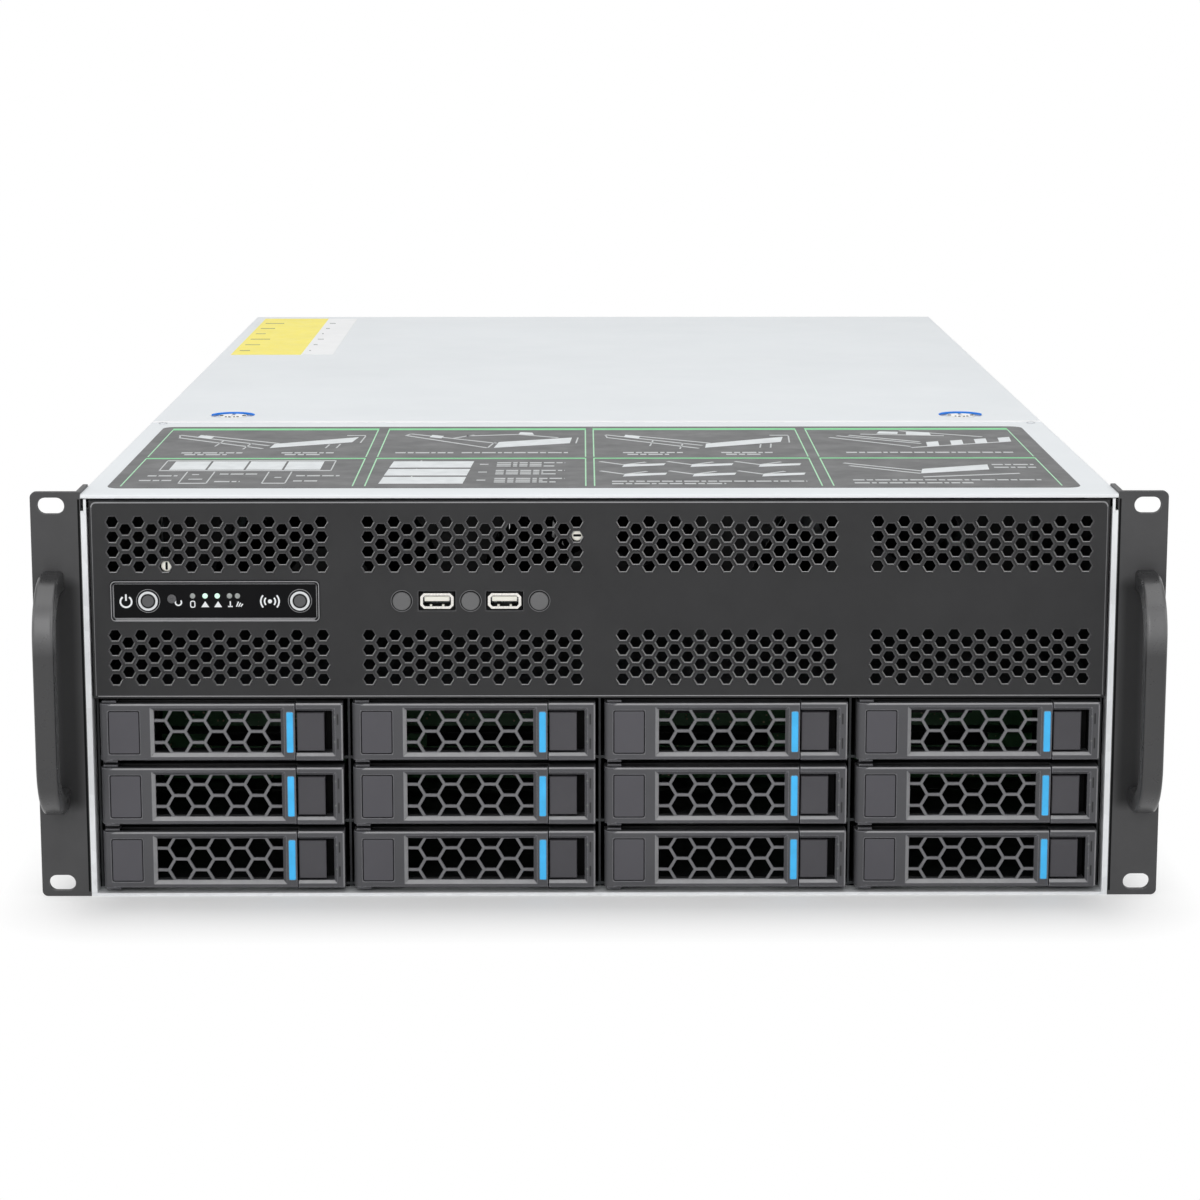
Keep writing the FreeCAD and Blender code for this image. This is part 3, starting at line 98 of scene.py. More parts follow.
def linear(colour: Rgb) -> tuple[float, float, float, float]:
    """Turn a screen colour of 0 to 255 into the shader's linear colour."""
    parts = [part / 255 for part in colour]
    return (*(part / 12.92 if part <= 0.04045 else ((part + 0.055) / 1.055) ** 2.4 for part in parts), 1.0)


def shade(colour: Rgb, factor: float) -> Rgb:
    """Make a screen colour darker or lighter by a factor."""
    return tuple(max(0, min(255, round(part * factor))) for part in colour)


def rectangle(left: float, right: float, low: float, high: float) -> Outline:
    """Corners of a rectangle, counter-clockwise."""
    return [(left, low), (right, low), (right, high), (left, high)]


def rounded(left: float, right: float, low: float, high: float, radius: float, steps: int = 5) -> Outline:
    """Rectangle with round corners.

    Args:
        left, right, low, high: The sides.
        radius: Radius of the corners.
        steps: Straight runs in each corner.

    Returns:
        The outline, counter-clockwise.
    """
    corners = ((right - radius, low + radius, 270), (right - radius, high - radius, 0),
               (left + radius, high - radius, 90), (left + radius, low + radius, 180))
    return [spot for x, y, start in corners for spot in arc((x, y), radius, start, start + 90, steps)]


def chamfered(width: float, height: float, cut: float, middle: Point = (0.0, 0.0)) -> Outline:
    """Rectangle with cut corners.

    Args:
        width, height: Its size.
        cut: Length of the cuts along the sides.
        middle: Its middle.

    Returns:
        The outline, counter-clockwise.
    """
    x, y = width / 2, height / 2
    quarter = [(x, y - cut), (x - cut, y)]
    corners = [(a * sign, b * sign) for sign in (1, -1)
               for a, b in (*quarter, *((-a, b) for a, b in reversed(quarter)))]
    return [(middle[0] + a, middle[1] + b) for a, b in corners]


def arc(centre: Point, radius: float, start: float, end: float, steps: int) -> Outline:
    """Points along a circular arc between two angles in degrees."""
    return [polar(centre, radius, start + (end - start) * step / steps) for step in range(steps + 1)]


def polar(centre: Point, radius: float, degrees: float) -> Point:
    """Point at a distance and a direction from a centre."""
    turn = math.radians(degrees)
    return centre[0] + radius * math.cos(turn), centre[1] + radius * math.sin(turn)


def circle(centre: Point, radius: float, steps: int = 40) -> Outline:
    """Corners of a circle or a regular shape, counter-clockwise."""
    return arc(centre, radius, 0, 360, steps)[:-1]


@dataclass(frozen=True)
class Face:
    """Flat place on the object that fittings are laid on.

    Attributes:
        origin: Point of the face that spots are counted from.
        across: Direction of a spot's first number.
        up: Direction of a spot's second number.
    """

    origin: Vector
    across: Vector
    up: Vector

    def at(self, spot: Point, lift: float = 0.0) -> Vector:
        """Point over a spot, lifted off the face along its outward normal."""
        out = self.across.cross(self.up)
        return self.origin + self.across * spot[0] + self.up * spot[1] + out * lift


class Side(Enum):
    """Sides of the chassis, each with the two directions seen when looking at it."""

    FRONT = ((1, 0, 0), (0, 0, 1))
    TOP = ((1, 0, 0), (0, 1, 0))
    REAR = ((-1, 0, 0), (0, 0, 1))
    LEFT = ((0, -1, 0), (0, 0, 1))
    RIGHT = ((0, 1, 0), (0, 0, 1))

    def face(self, origin: Sequence[float]) -> Face:
        """Face of this side through a point."""
        across, up = self.value
        return Face(Vector(origin), Vector(across), Vector(up))


class Shaper:
    """Mesh of one piece, put together from closed forms laid on faces."""

    def __init__(self, name: str) -> None:
        """Start an empty piece."""
        self.name = name
        self.mesh = bmesh.new()

    def loop(self, face: Face, outline: Sequence[Point], lift: float) -> Loop:
        """Corners of an outline over a face."""
        return [self.mesh.verts.new(face.at(spot, lift)) for spot in outline]

    def band(self, lower: Loop, upper: Loop) -> None:
        """Wall of four-cornered faces.

        Args:
            lower, upper: The loops that it joins.
        """
        total = len(lower)
        for index in range(total):
            after = (index + 1) % total
            self.mesh.faces.new((lower[index], lower[after], upper[after], upper[index]))

    def stack(self, face: Face, levels: Sequence[tuple[Sequence[Point], float]]) -> None:
        """Closed form through outlines of the same number of corners.

        Args:
            face: Where it lies.
            levels: Outlines with their lifts, from the foot to the crown.
        """
        loops = [self.loop(face, outline, lift) for outline, lift in levels]
        for lower, upper in zip(loops, loops[1:]):
            self.band(lower, upper)
        self.mesh.faces.new(list(reversed(loops[0])))
        self.mesh.faces.new(loops[-1])

    def plate(self, face: Face, outline: Sequence[Point], low: float, high: float,
              bevel: float = 0.0) -> None:
        """Plate of an outline between two lifts, with a bevel of a width on its upper rim."""
        crown = [(self.inset(outline, bevel), high)] if bevel else []
        self.stack(face, [(outline, low), (outline, high - bevel), *crown])

    @staticmethod
    def inset(outline: Sequence[Point], by: float) -> Outline:
        """Draw the corners of an outline inwards.

        Args:
            outline: The outline, counter-clockwise.
            by: How far.

        Returns:
            The smaller outline.
        """
        total = len(outline)
        result = []
        for index, (x, y) in enumerate(outline):
            before, after = outline[index - 1], outline[(index + 1) % total]
            first = Vector((x - before[0], y - before[1])).normalized()
            second = Vector((after[0] - x, after[1] - y)).normalized()
            inward = Vector((-first.y - second.y, first.x + second.x))
            scale = by * 2 / max(inward.length_squared, 0.5)
            result.append((x + inward.x * scale, y + inward.y * scale))
        return result

    def ring(self, face: Face, outer: Sequence[Point], inner: Sequence[Point], low: float, high: float,
             sunk: float = 0.0) -> None:
        """Frame between two outlines with the same number of corners.

        Args:
            face: Where it lies.
            outer, inner: The two outlines.
            low, high: Its lower and upper lift.
            sunk: How far its crown falls towards the inner outline.
        """
        loops = [self.loop(face, outline, lift) for outline, lift in
                 ((outer, low), (outer, high), (inner, high - sunk), (inner, low))]
        for lower, upper in zip(loops, loops[1:] + loops[:1]):
            self.band(lower, upper)

    def pierced(self, face: Face, sides: Sides, holes: Sequence[Sides], low: float, high: float) -> None:
        """Plate with rectangular holes, made of the cells that the holes' edges divide it into.

        Args:
            face: Where it lies.
            sides: Left, right, bottom and top of the plate.
            holes: The same of each hole.
            low, high: Its lower and upper lift.
        """
        across = sorted({*sides[:2], *(x for hole in holes for x in hole[:2])})
        up = sorted({*sides[2:], *(y for hole in holes for y in hole[2:])})
        corners = [[self.loop(face, [(x, y) for y in up], lift) for x in across] for lift in (low, high)]

        def solid(column: int, row: int) -> bool:
            """Test a cell of the plate.

            Args:
                column, row: Which one.

            Returns:
                False for a cell in a hole or off the plate.
            """
            if not (0 <= column < len(across) - 1 and 0 <= row < len(up) - 1):
                return False
            x, y = (across[column] + across[column + 1]) / 2, (up[row] + up[row + 1]) / 2
            return not any(hole[0] < x < hole[1] and hole[2] < y < hole[3] for hole in holes)

        for column in range(len(across) - 1):
            for row in range(len(up) - 1):
                if not solid(column, row):
                    continue
                spots = [(column, row), (column + 1, row), (column + 1, row + 1), (column, row + 1)]
                for layer in corners:
                    self.mesh.faces.new([layer[x][y] for x, y in spots])
                beside = [(column, row - 1), (column + 1, row), (column, row + 1), (column - 1, row)]
                for (ax, ay), (bx, by), other in zip(spots, spots[1:] + spots[:1], beside):
                    if not solid(*other):
                        self.mesh.faces.new((corners[0][ax][ay], corners[0][bx][by], corners[1][bx][by],
                                             corners[1][ax][ay]))
        loose = [corner for corner in self.mesh.verts if not corner.link_faces]
        bmesh.ops.delete(self.mesh, geom=loose, context="VERTS")

    def ribbon(self, face: Face, path: Sequence[Point], width: float, low: float, high: float) -> None:
        """Raised line of an even width along a path.

        Args:
            face: Where it lies.
            path: Points of its middle; it closes where the last is the first.
            width: Width of the line.
            low, high: Its lower and upper lift.
        """
        closed = path[0] == path[-1]
        spots = [Vector(spot) for spot in (path[:-1] if closed else path)]
        total = len(spots)
        left, right = [], []
        for index, spot in enumerate(spots):
            ways = []
            if index or closed:
                ways.append((spot - spots[index - 1]).normalized())
            if index + 1 < total or closed:
                ways.append((spots[(index + 1) % total] - spot).normalized())
            way = sum(ways, Vector((0.0, 0.0))).normalized()
            reach = width / 2 / max(way.dot(ways[0]), 0.4)
            side = Vector((-way.y, way.x)) * reach
            left.append(tuple(spot + side))
            right.append(tuple(spot - side))
        if closed:
            self.ring(face, right, left, low, high)
        else:
            self.plate(face, right + left[::-1], low, high)

    def turned(self, face: Face, spot: Point, levels: Sequence[tuple[Reach, float]], steps: int = 24) -> None:
        """Closed form round a spot from reaches at several lifts.

        Args:
            face: Where it lies.
            spot: Its middle.
            levels: A radius, or a function of the angle, with its lift, from the foot to the crown.
            steps: Corners round it.
        """
        outlines = []
        turns = [2 * math.pi * step / steps for step in range(steps)]
        for reach, lift in levels:
            radii = [reach(turn) if callable(reach) else reach for turn in turns]
            outlines.append(([(spot[0] + radius * math.cos(turn), spot[1] + radius * math.sin(turn))
                              for radius, turn in zip(radii, turns)], lift))
        self.stack(face, outlines)

    def screw(self, face: Face, spot: Point, radius: float, height: float) -> None:
        """Low screw head with a cross recess.

        Args:
            face: Where it sits.
            spot: Its middle.
            radius: Radius of the head.
            height: Height of the head over the face.
        """
        long, wide, crown = radius * 0.55, radius * 0.16, radius * 0.86
        rim, floor = height * 0.5, height * 0.35

        def cross(turn: float) -> float:
            """Reach of the recess in a direction."""
            across, up = abs(math.cos(turn)) + 1e-9, abs(math.sin(turn)) + 1e-9
            return max(min(long / across, wide / up), min(wide / across, long / up))

        levels = [(radius, 0.0), (radius, rim), (crown, height), (cross, height), (cross, floor)]
        self.turned(face, spot, levels, 48)

    def piece(self, look: "Look", body: str, slot: str, smooth: bool = False) -> None:
        """Finish the mesh as an object that rides on a body.

        Args:
            look: Its finish.
            body: Name of the body.
            slot: Material slot of the record it belongs to; not used.
            smooth: True where its faces join smoothly.
        """
        bmesh.ops.recalc_face_normals(self.mesh, faces=self.mesh.faces)
        data = bpy.data.meshes.new(self.name)
        self.mesh.to_mesh(data)
        self.mesh.free()
        if smooth:
            data.shade_smooth()
            data.set_sharp_from_angle(angle=SMOOTH_ANGLE)
        data.materials.append(look.material())
        item = bpy.data.objects.new(self.name, data)
        bpy.context.scene.collection.objects.link(item)
        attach(item, body)
        LOG.info("piece %s rides on %s with %d faces", self.name, body, len(data.polygons))


class Graph:
    """Nodes of one material."""

    def __init__(self, name: str) -> None:
        """Start a material with its main shader.

        Args:
            name: The material's name.
        """
        self.material = bpy.data.materials.new(name)
        self.material.use_nodes = True
        self.tree = self.material.node_tree
        self.shader = self.tree.nodes["Principled BSDF"]

    def add(self, kind: str, values: dict[Any, Any] | None = None, **settings: Any) -> bpy.types.Node:
        """Make a node.

        Args:
            kind: Its type.
            values: What its inputs get: a value, or a socket to be joined.
            settings: Settings of the node itself.

        Returns:
            The node.
        """
        node = self.tree.nodes.new(f"ShaderNode{kind}")
        for name, value in settings.items():
            setattr(node, name, value)
        for name, value in (values or {}).items():
            if isinstance(value, Socket):
                self.link(value, node.inputs[name])
            else:
                node.inputs[name].default_value = value
        return node

    def link(self, start: Socket, end: Socket) -> None:
        """Join two sockets."""
        self.tree.links.new(start, end)

    def spot(self) -> Socket:
        """The object's own coordinates."""
        return self.add("TexCoord").outputs["Object"]

    def noise(self, scale: float, detail: float,
              stretch: Sequence[float] = (1.0, 1.0, 1.0)) -> Socket:
        """Noise over the object's own coordinates, in repeats per metre.

        Args:
            scale: Repeats per metre.
            detail: Octaves.
            stretch: Scale along each axis.

        Returns:
            The noise's value.
        """
        mapped = self.add("Mapping", {"Vector": self.spot(), "Scale": stretch}).outputs["Vector"]
        noise = self.add("TexNoise", {"Vector": mapped, "Scale": scale, "Detail": detail, "Roughness": 0.6})
        return noise.outputs["Fac"]

    def between(self, value: Socket, low: float, high: float,
                take: Point = (0.25, 0.75)) -> Socket:
        """Spread a part of a value's range over another range."""
        spread = {"Value": value, "From Min": take[0], "From Max": take[1], "To Min": low, "To Max": high}
        return self.add("MapRange", spread).outputs["Result"]

    def mix(self, factor: Socket, first: Any, second: Any) -> Socket:
        """Blend two colours.

        Args:
            factor: Share of the second.
            first, second: Screen colours or sockets.

        Returns:
            The blend.
        """
        node = self.add("Mix", {"Factor": factor}, data_type="RGBA")
        for name, colour in (("A", first), ("B", second)):
            socket = next(item for item in node.inputs if item.name == name and item.type == "RGBA")
            if isinstance(colour, tuple):
                socket.default_value = linear(colour)
            else:
                self.link(colour, socket)
        return next(item for item in node.outputs if item.type == "RGBA")

    def wander(self, factor: Socket, colour: Rgb, tone: float) -> Socket:
        """Colour between a darker and a lighter tone of itself."""
        return self.mix(factor, shade(colour, 1 - tone), shade(colour, 1 + tone))

    def inside(self, low: Sequence[float], high: Sequence[float]) -> Socket:
        """Tell the inside of a box from the outside.

        Args:
            low, high: Corners of the box, in the object's own coordinates.

        Returns:
            Value that is 1 inside and 0 outside.
        """
        parts = self.add("SeparateXYZ")
        self.link(self.beyond(low, high), parts.inputs["Vector"])
        far = parts.outputs["X"]
        for name in ("Y", "Z"):
            far = self.add("Math", {0: far, 1: parts.outputs[name]}, operation="MAXIMUM").outputs["Value"]
        return self.add("Math", {0: far, 1: 0.0}, operation="LESS_THAN").outputs["Value"]

    def near(self, low: Sequence[float], high: Sequence[float], reach: float) -> Socket:
        """Value that is 1 inside such a box and falls to 0 over a reach round it."""
        return self.between(self.away(low, high), 1.0, 0.0, (0.0, reach))

    def away(self, low: Sequence[float], high: Sequence[float]) -> Socket:
        """Measure the distance from a box.

        Args:
            low, high: Corners of the box, in the object's own coordinates.

        Returns:
            The distance, 0 inside.
        """
        outside = self.add("VectorMath", {1: (0.0, 0.0, 0.0)}, operation="MAXIMUM")
        self.link(self.beyond(low, high), outside.inputs[0])
        return self.add("VectorMath", {0: outside.outputs["Vector"]}, operation="LENGTH").outputs["Value"]

    def beyond(self, low: Sequence[float], high: Sequence[float]) -> Socket:
        """Measure how far a place lies outside a box.

        Args:
            low, high: Corners of the box, in the object's own coordinates.

        Returns:
            The distance along each axis, negative inside.
        """
        middle = [(first + last) / 2 for first, last in zip(low, high)]
        half = [(last - first) / 2 for first, last in zip(low, high)]
        spot = self.spot()
        for operation, other in (("SUBTRACT", middle), ("ABSOLUTE", (0.0, 0.0, 0.0)), ("SUBTRACT", half)):
            spot = self.add("VectorMath", {0: spot, 1: other}, operation=operation).outputs["Vector"]
        return spot

    def edge(self, radius: float) -> tuple[Socket, Socket]:
        """Softened normal near edges, and how far it leaves the true one.

        Args:
            radius: Width of the rounding in metres.

        Returns:
            The normal, and a value that is 1 on an edge and 0 away from it.
        """
        soft = self.add("Bevel", {"Radius": radius}, samples=4).outputs["Normal"]
        true = self.add("NewGeometry").outputs["True Normal"]
        product = self.add("VectorMath", {0: soft, 1: true}, operation="DOT_PRODUCT")
        return soft, self.between(product.outputs["Value"], 1.0, 0.0, (0.75, 0.99))


@dataclass(frozen=True)
class Zone:
    """Box of a node's own coordinates, in millimetres, with another colour, used for parts' own colours and
    for painted shade and highlights.

    Attributes:
        low, high: Two opposite corners of the box.
        colour: Screen colour in it.
        soft: Width round it over which the colour fades.
    """

    low: Triple
    high: Triple
    colour: Rgb
    soft: float = 0.0

    def over(self, graph: Graph, ground: Socket, tone: float,
             patch: float) -> Socket:
        """Lay this zone's colour, slightly wandering, over the ground.

        Args:
            graph: Nodes of the material.
            ground: Colour round the zone.
            tone: How far the zone's colour wanders, as a share.
            patch: Repeats of the wandering per metre.

        Returns:
            The colour of both.
        """
        own = graph.wander(graph.between(graph.noise(patch, 3.0), 0.0, 1.0), self.colour, tone)
        low, high = ([value * MM for value in corner] for corner in (self.low, self.high))
        within = graph.near(low, high, self.soft * MM) if self.soft else graph.inside(low, high)
        return graph.mix(within, ground, own)


@dataclass(frozen=True)
class Finish:
    """Surface with a slow change of tone, a fine relief and softened edges made lighter, partly as wear and
    partly as a painted highlight.

    Attributes:
        name: Name of the material.
        colour: Screen colour.
        roughness: Mean roughness.
        metallic: Share of bare metal.
        specular: Strength of the reflection on a coat of paint or plastic.
        tone: How far the colour wanders, as a share.
        patch: Repeats of the wandering per metre.
        relief: Depth of the fine relief in micrometres.
        fine: Repeats of the relief per metre.
        stretch: Scale of both along each axis.
        edge: Width of the softened edges in millimetres.
        wear_and_sheen: How much lighter the edges are, as a factor.
        zones: Parts of the node with another colour, some of it painted shade and highlights.
    """

    name: str
    colour: Rgb
    roughness: float
    metallic: float = 0.0
    specular: float = 0.5
    tone: float = 0.05
    patch: float = 25.0
    relief: float = 20.0
    fine: float = 2500.0
    stretch: Triple = (1.0, 1.0, 1.0)
    edge: float = 0.4
    wear_and_sheen: float = 1.25
    zones: tuple[Zone, ...] = ()

    def tint(self, graph: Graph) -> Socket:
        """Colour before the edges are lightened."""
        value = graph.between(graph.noise(self.patch, 4.0, self.stretch), 0.0, 1.0)
        return graph.wander(value, self.colour, self.tone)

    def height(self, graph: Graph) -> Socket:
        """Fine relief."""
        return graph.noise(self.fine, 3.0, self.stretch)

    def light(self, graph: Graph) -> None:
        """Light that the surface gives off by itself: none here."""

    def build(self) -> bpy.types.Material:
        """Join the nodes of this finish.

        Returns:
            Its material.
        """
        graph = Graph(self.name)
        shader = graph.shader
        shader.inputs["Metallic"].default_value = self.metallic
        shader.inputs["Specular IOR Level"].default_value = self.specular
        normal, worn_and_lit = graph.edge(self.edge * MM)
        # Edges are made lighter by a factor: partly wear, partly a painted highlight.
        colour = graph.mix(worn_and_lit, self.tint(graph), shade(self.colour, self.wear_and_sheen))
        for zone in self.zones:
            colour = zone.over(graph, colour, self.tone, self.patch)
        graph.link(colour, shader.inputs["Base Color"])
        gloss = graph.noise(self.patch * 6, 5.0, self.stretch)
        rough = graph.between(gloss, self.roughness * 0.82, self.roughness * 1.18)
        graph.link(rough, shader.inputs["Roughness"])
        bump = graph.add("Bump", {"Strength": 1.0, "Distance": self.relief * MICRON, "Normal": normal})
        graph.link(self.height(graph), bump.inputs["Height"])
        graph.link(bump.outputs["Normal"], shader.inputs["Normal"])
        self.light(graph)
        return graph.material


@dataclass(frozen=True)
class Plated(Finish):
    """Zinc-plated sheet: cells of crystal that differ a little in tone.

    Attributes:
        cells: Crystals per metre.
    """

    relief: float = 8.0
    fine: float = 900.0
    edge: float = 0.3
    cells: float = 160.0

    def tint(self, graph: Graph) -> Socket:
        """Crystals of slightly different tone.

        Args:
            graph: The material's nodes.

        Returns:
            Their colour.
        """
        crystal = graph.add("TexVoronoi", {"Vector": graph.spot(), "Scale": self.cells, "Randomness": 1.0})
        value = graph.add("SeparateColor", {"Color": crystal.outputs["Color"]})
        return graph.wander(value.outputs["Red"], self.colour, self.tone)


@dataclass(frozen=True)
class Powder(Finish):
    """Powder coat with an even, fine grain."""

    roughness: float = 0.5
    specular: float = 0.25
    patch: float = 40.0
    fine: float = 2200.0
    edge: float = 0.5
    wear_and_sheen: float = 1.6


@dataclass(frozen=True)
class Metal(Finish):
    """Small metal fitting, brushed where it is stretched."""

    metallic: float = 1.0
    patch: float = 200.0
    relief: float = 5.0
    fine: float = 1500.0
    edge: float = 0.2
    wear_and_sheen: float = 1.1


@dataclass(frozen=True)
class Printed(Finish):
    """Film, paper or ink: thin, smooth and with crisp edges."""

    roughness: float = 0.5
    specular: float = 0.3
    tone: float = 0.04
    patch: float = 200.0
    relief: float = 3.0
    fine: float = 1500.0
    edge: float = 0.1
    wear_and_sheen: float = 1.02


@dataclass(frozen=True)
class Moulded(Finish):
    """Moulded plastic with a spark-eroded texture of small rounded cells."""

    def height(self, graph: Graph) -> Socket:
        """Rounded cells."""
        values = {"Vector": graph.spot(), "Scale": self.fine, "Smoothness": 0.6}
        return graph.add("TexVoronoi", values, feature="SMOOTH_F1").outputs["Distance"]


@dataclass(frozen=True)
class Circuit(Finish):
    """Circuit board: lacquer over fine copper runs, with tinned points.

    Attributes:
        runs: Colour over the copper runs.
        points: Colour of the tinned points.
    """

    roughness: float = 0.35
    tone: float = 0.1
    relief: float = 10.0
    fine: float = 900.0
    edge: float = 0.2
    wear_and_sheen: float = 1.3
    runs: Rgb = (60, 120, 70)
    points: Rgb = (190, 180, 140)

    def tint(self, graph: Graph) -> Socket:
        """Runs and points over the board's own tone.

        Args:
            graph: The material's nodes.

        Returns:
            Their colour.
        """
        ground = super().tint(graph)
        spot = graph.spot()
        runs = graph.add("TexBrick", {"Vector": spot, "Scale": 220.0, "Mortar Size": 0.06, "Brick Width": 0.9,
                                      "Row Height": 0.22})
        laid = graph.mix(runs.outputs["Fac"], ground, self.runs)
        dots = graph.add("TexVoronoi", {"Vector": spot, "Scale": 260.0, "Randomness": 0.7})
        tinned = graph.between(dots.outputs["Distance"], 1.0, 0.0, (0.12, 0.18))
        return graph.mix(tinned, laid, self.points)


@dataclass(frozen=True)
class Lit(Finish):
    """Lens or strip that glows a little: on a lamp this is its light, on any other part it is painted light.

    Attributes:
        glow: Strength of the light it gives off.
    """

    roughness: float = 0.25
    patch: float = 500.0
    relief: float = 3.0
    fine: float = 2500.0
    edge: float = 0.1
    wear_and_sheen: float = 1.1
    glow: float = 0.3

    def light(self, graph: Graph) -> None:
        """Give off light of the finish's own colour."""
        graph.shader.inputs["Emission Color"].default_value = linear(self.colour)
        graph.shader.inputs["Emission Strength"].default_value = self.glow


class Look(Enum):
    """All finishes, by what they are used for."""

    ZINC = Plated("zinc_plate", (176, 180, 184), 0.36, metallic=0.85, tone=0.06, wear_and_sheen=1.1)
    # The tray's zone darkens its inside behind the front: painted shade.
    TRAY = Plated("tray_zinc", (236, 238, 240), 0.4, metallic=0.12, specular=0.4, tone=0.02, relief=6.0,
                  wear_and_sheen=1.03, zones=(Zone((-219.4, -364.0, 0.6), (219.4, -128.0, 174.0), (34, 35, 37)),))
    # The cage's zinc gets a dark colour that stands for the shade between the carriers: painted shade.
    CAGE = Plated("cage_zinc_painted_shade", (56, 58, 60), 0.42, metallic=0.5, tone=0.08, wear_and_sheen=1.6)
    SUPPLY = Plated("supply_steel", (150, 153, 156), 0.38, metallic=0.85, fine=1000.0, wear_and_sheen=1.15)
    # The cover's zone makes the front face of its lip lighter: painted highlight.
    COVER = Powder("cover_powder_coat", (228, 232, 235), 0.45, specular=0.2, tone=0.012, patch=6.0,
                   relief=12.0, fine=1600.0, edge=0.8, wear_and_sheen=1.12,
                   zones=(Zone((-221.0, -375.4, 172.0), (221.0, -374.8, 177.0), (241, 244, 246)),))
    # Edges of the bezel and of its holes are made twice as light: painted highlight.
    CHARCOAL = Powder("charcoal_powder_coat", (51, 51, 52), specular=0.2, tone=0.06, edge=0.6, wear_and_sheen=2.0)
    # The ear's zones darken it beside each handle: painted shadow of the handles.
    EAR = Powder("ear_powder_coat", (74, 74, 75),
                 zones=tuple(Zone((x, -380, 43), (x + 4.5, -376, 135), (20, 20, 21), 6.0)
                             for x in (-230.0, 225.5)))
    # The handle's zones make its upper bend lighter and its lower bend a little lighter: painted highlights.
    HANDLE = Powder("handle_powder_coat", (49, 49, 50), 0.3, specular=0.6, relief=15.0, edge=0.4, wear_and_sheen=1.3,
                    zones=(Zone((-242, -408, 121), (242, -395, 130), (92, 92, 93), 9.0),
                           Zone((-242, -408, 42), (242, -395, 46), (68, 68, 69), 8.0)))
    # Edges of the black panel are made five times as light: painted highlight.
    GLOSS = Finish("panel_gloss_black", (14, 14, 16), 0.2, specular=0.08, tone=0.2, patch=60.0, relief=2.0,
                   fine=800.0, wear_and_sheen=5.0)
    BUTTON = Moulded("button_plastic", (92, 92, 94), 0.45, specular=0.25, relief=10.0, fine=3000.0, wear_and_sheen=1.3)
    PLUG = Moulded("plug_plastic", (108, 108, 109), 0.5, specular=0.25, relief=15.0, fine=2600.0, wear_and_sheen=1.3)
    # The carrier's zone darkens its inside behind the front: painted shade. Its edges, like the lever's, are
    # made almost twice as light: painted highlight.
    CARRIER = Moulded("carrier_plastic", (80, 80, 83), 0.42, specular=0.3, fine=2400.0, edge=0.7, wear_and_sheen=1.9,
                      zones=(Zone((-240, -367, 0), (240, -160, 120), (22, 22, 24)),))
    LEVER = Moulded("lever_plastic", (80, 80, 83), 0.42, specular=0.3, fine=2400.0, edge=0.7, wear_and_sheen=1.9)
    RELEASE = Moulded("release_plastic", (76, 75, 79), 0.45, specular=0.25, fine=2600.0, edge=0.3, wear_and_sheen=1.5)
    PAD = Moulded("pad_plastic", (85, 84, 89), 0.5, specular=0.25, tone=0.03, relief=10.0, fine=2600.0,
                  edge=0.2, wear_and_sheen=1.2)
    FAN = Moulded("fan_plastic", (30, 30, 32), 0.4, tone=0.1, relief=10.0, fine=1800.0, wear_and_sheen=1.6)
    TONGUE = Moulded("tongue_plastic", (250, 247, 236), 0.45, tone=0.03, relief=5.0, edge=0.2, wear_and_sheen=1.05)
    # Black of painted shade in recesses, slots, cuts and ports, and of dark joints.
    SHADOW = Moulded("painted_shade_and_joint_black", (12, 12, 13), 0.6, specular=0.1, tone=0.15, relief=10.0, fine=2400.0,
                     edge=0.1, wear_and_sheen=1.2)
    # Black of black parts, and painted shade on the sides of mesh bars and inside rear ports.
    BLACK_AND_SHADE = Moulded("port_black_and_painted_shade", (28, 28, 30), 0.6, tone=0.1, relief=10.0, fine=2200.0, edge=0.2, wear_and_sheen=1.4)
    BOARD = Circuit("board_lacquer", (22, 74, 44),
                    zones=(Zone((-240, -240, 9.4), (240, 400, 120), (34, 34, 36)),
                           *(Zone((x, 80, 9.4), (x + 80, 200, 120), (178, 181, 184)) for x in (-167, -46))))
    BACKPLANE = Circuit("backplane_lacquer", (22, 74, 44),
                        zones=(Zone((-240, -200, 0), (240, -175.4, 120), (26, 26, 28)),))
    STEEL = Metal("port_steel", (200, 202, 204), 0.25, patch=80.0, relief=3.0, fine=1200.0,
                  stretch=(1.0, 8.0, 1.0))
    SHELL = Metal("port_shell", (240, 237, 231), 0.28, metallic=0.25, tone=0.04, relief=3.0, wear_and_sheen=1.04)
    SHIELD = Metal("shield_steel", (186, 189, 192), 0.32, metallic=0.8, patch=60.0, fine=1100.0,
                   stretch=(1.0, 1.0, 7.0))
    CONTACT = Metal("contact_gold", (214, 178, 96), 0.25, tone=0.06, patch=300.0, relief=2.0, fine=2000.0,
                    edge=0.1)
    LOCK = Metal("lock_steel", (240, 240, 238), 0.4, metallic=0.1, tone=0.06, patch=120.0, relief=4.0,
                 stretch=(1.0, 6.0, 1.0), edge=0.3, wear_and_sheen=1.15)
    SCREW = Metal("screw_black_zinc", (96, 98, 100), 0.35, metallic=0.7, tone=0.1, wear_and_sheen=1.5)
    BRIGHT_SCREW = Metal("screw_zinc", (186, 189, 192), 0.3, metallic=0.9, tone=0.06, wear_and_sheen=1.15)
    LABEL = Printed("label_film", (84, 85, 86), tone=0.025, patch=12.0, relief=4.0, fine=900.0, edge=0.2,
                    wear_and_sheen=1.05)
    GREEN = Printed("label_green", (128, 216, 152))
    PALE_GREEN = Printed("label_pale_green", (172, 226, 186))
    PALE = Printed("label_pale_ink", (196, 199, 200))
    DARK_INK = Printed("label_dark_ink", (66, 70, 72), tone=0.06)
    DRAWN = Printed("label_drawn_shape", (220, 224, 226), tone=0.05, patch=120.0)
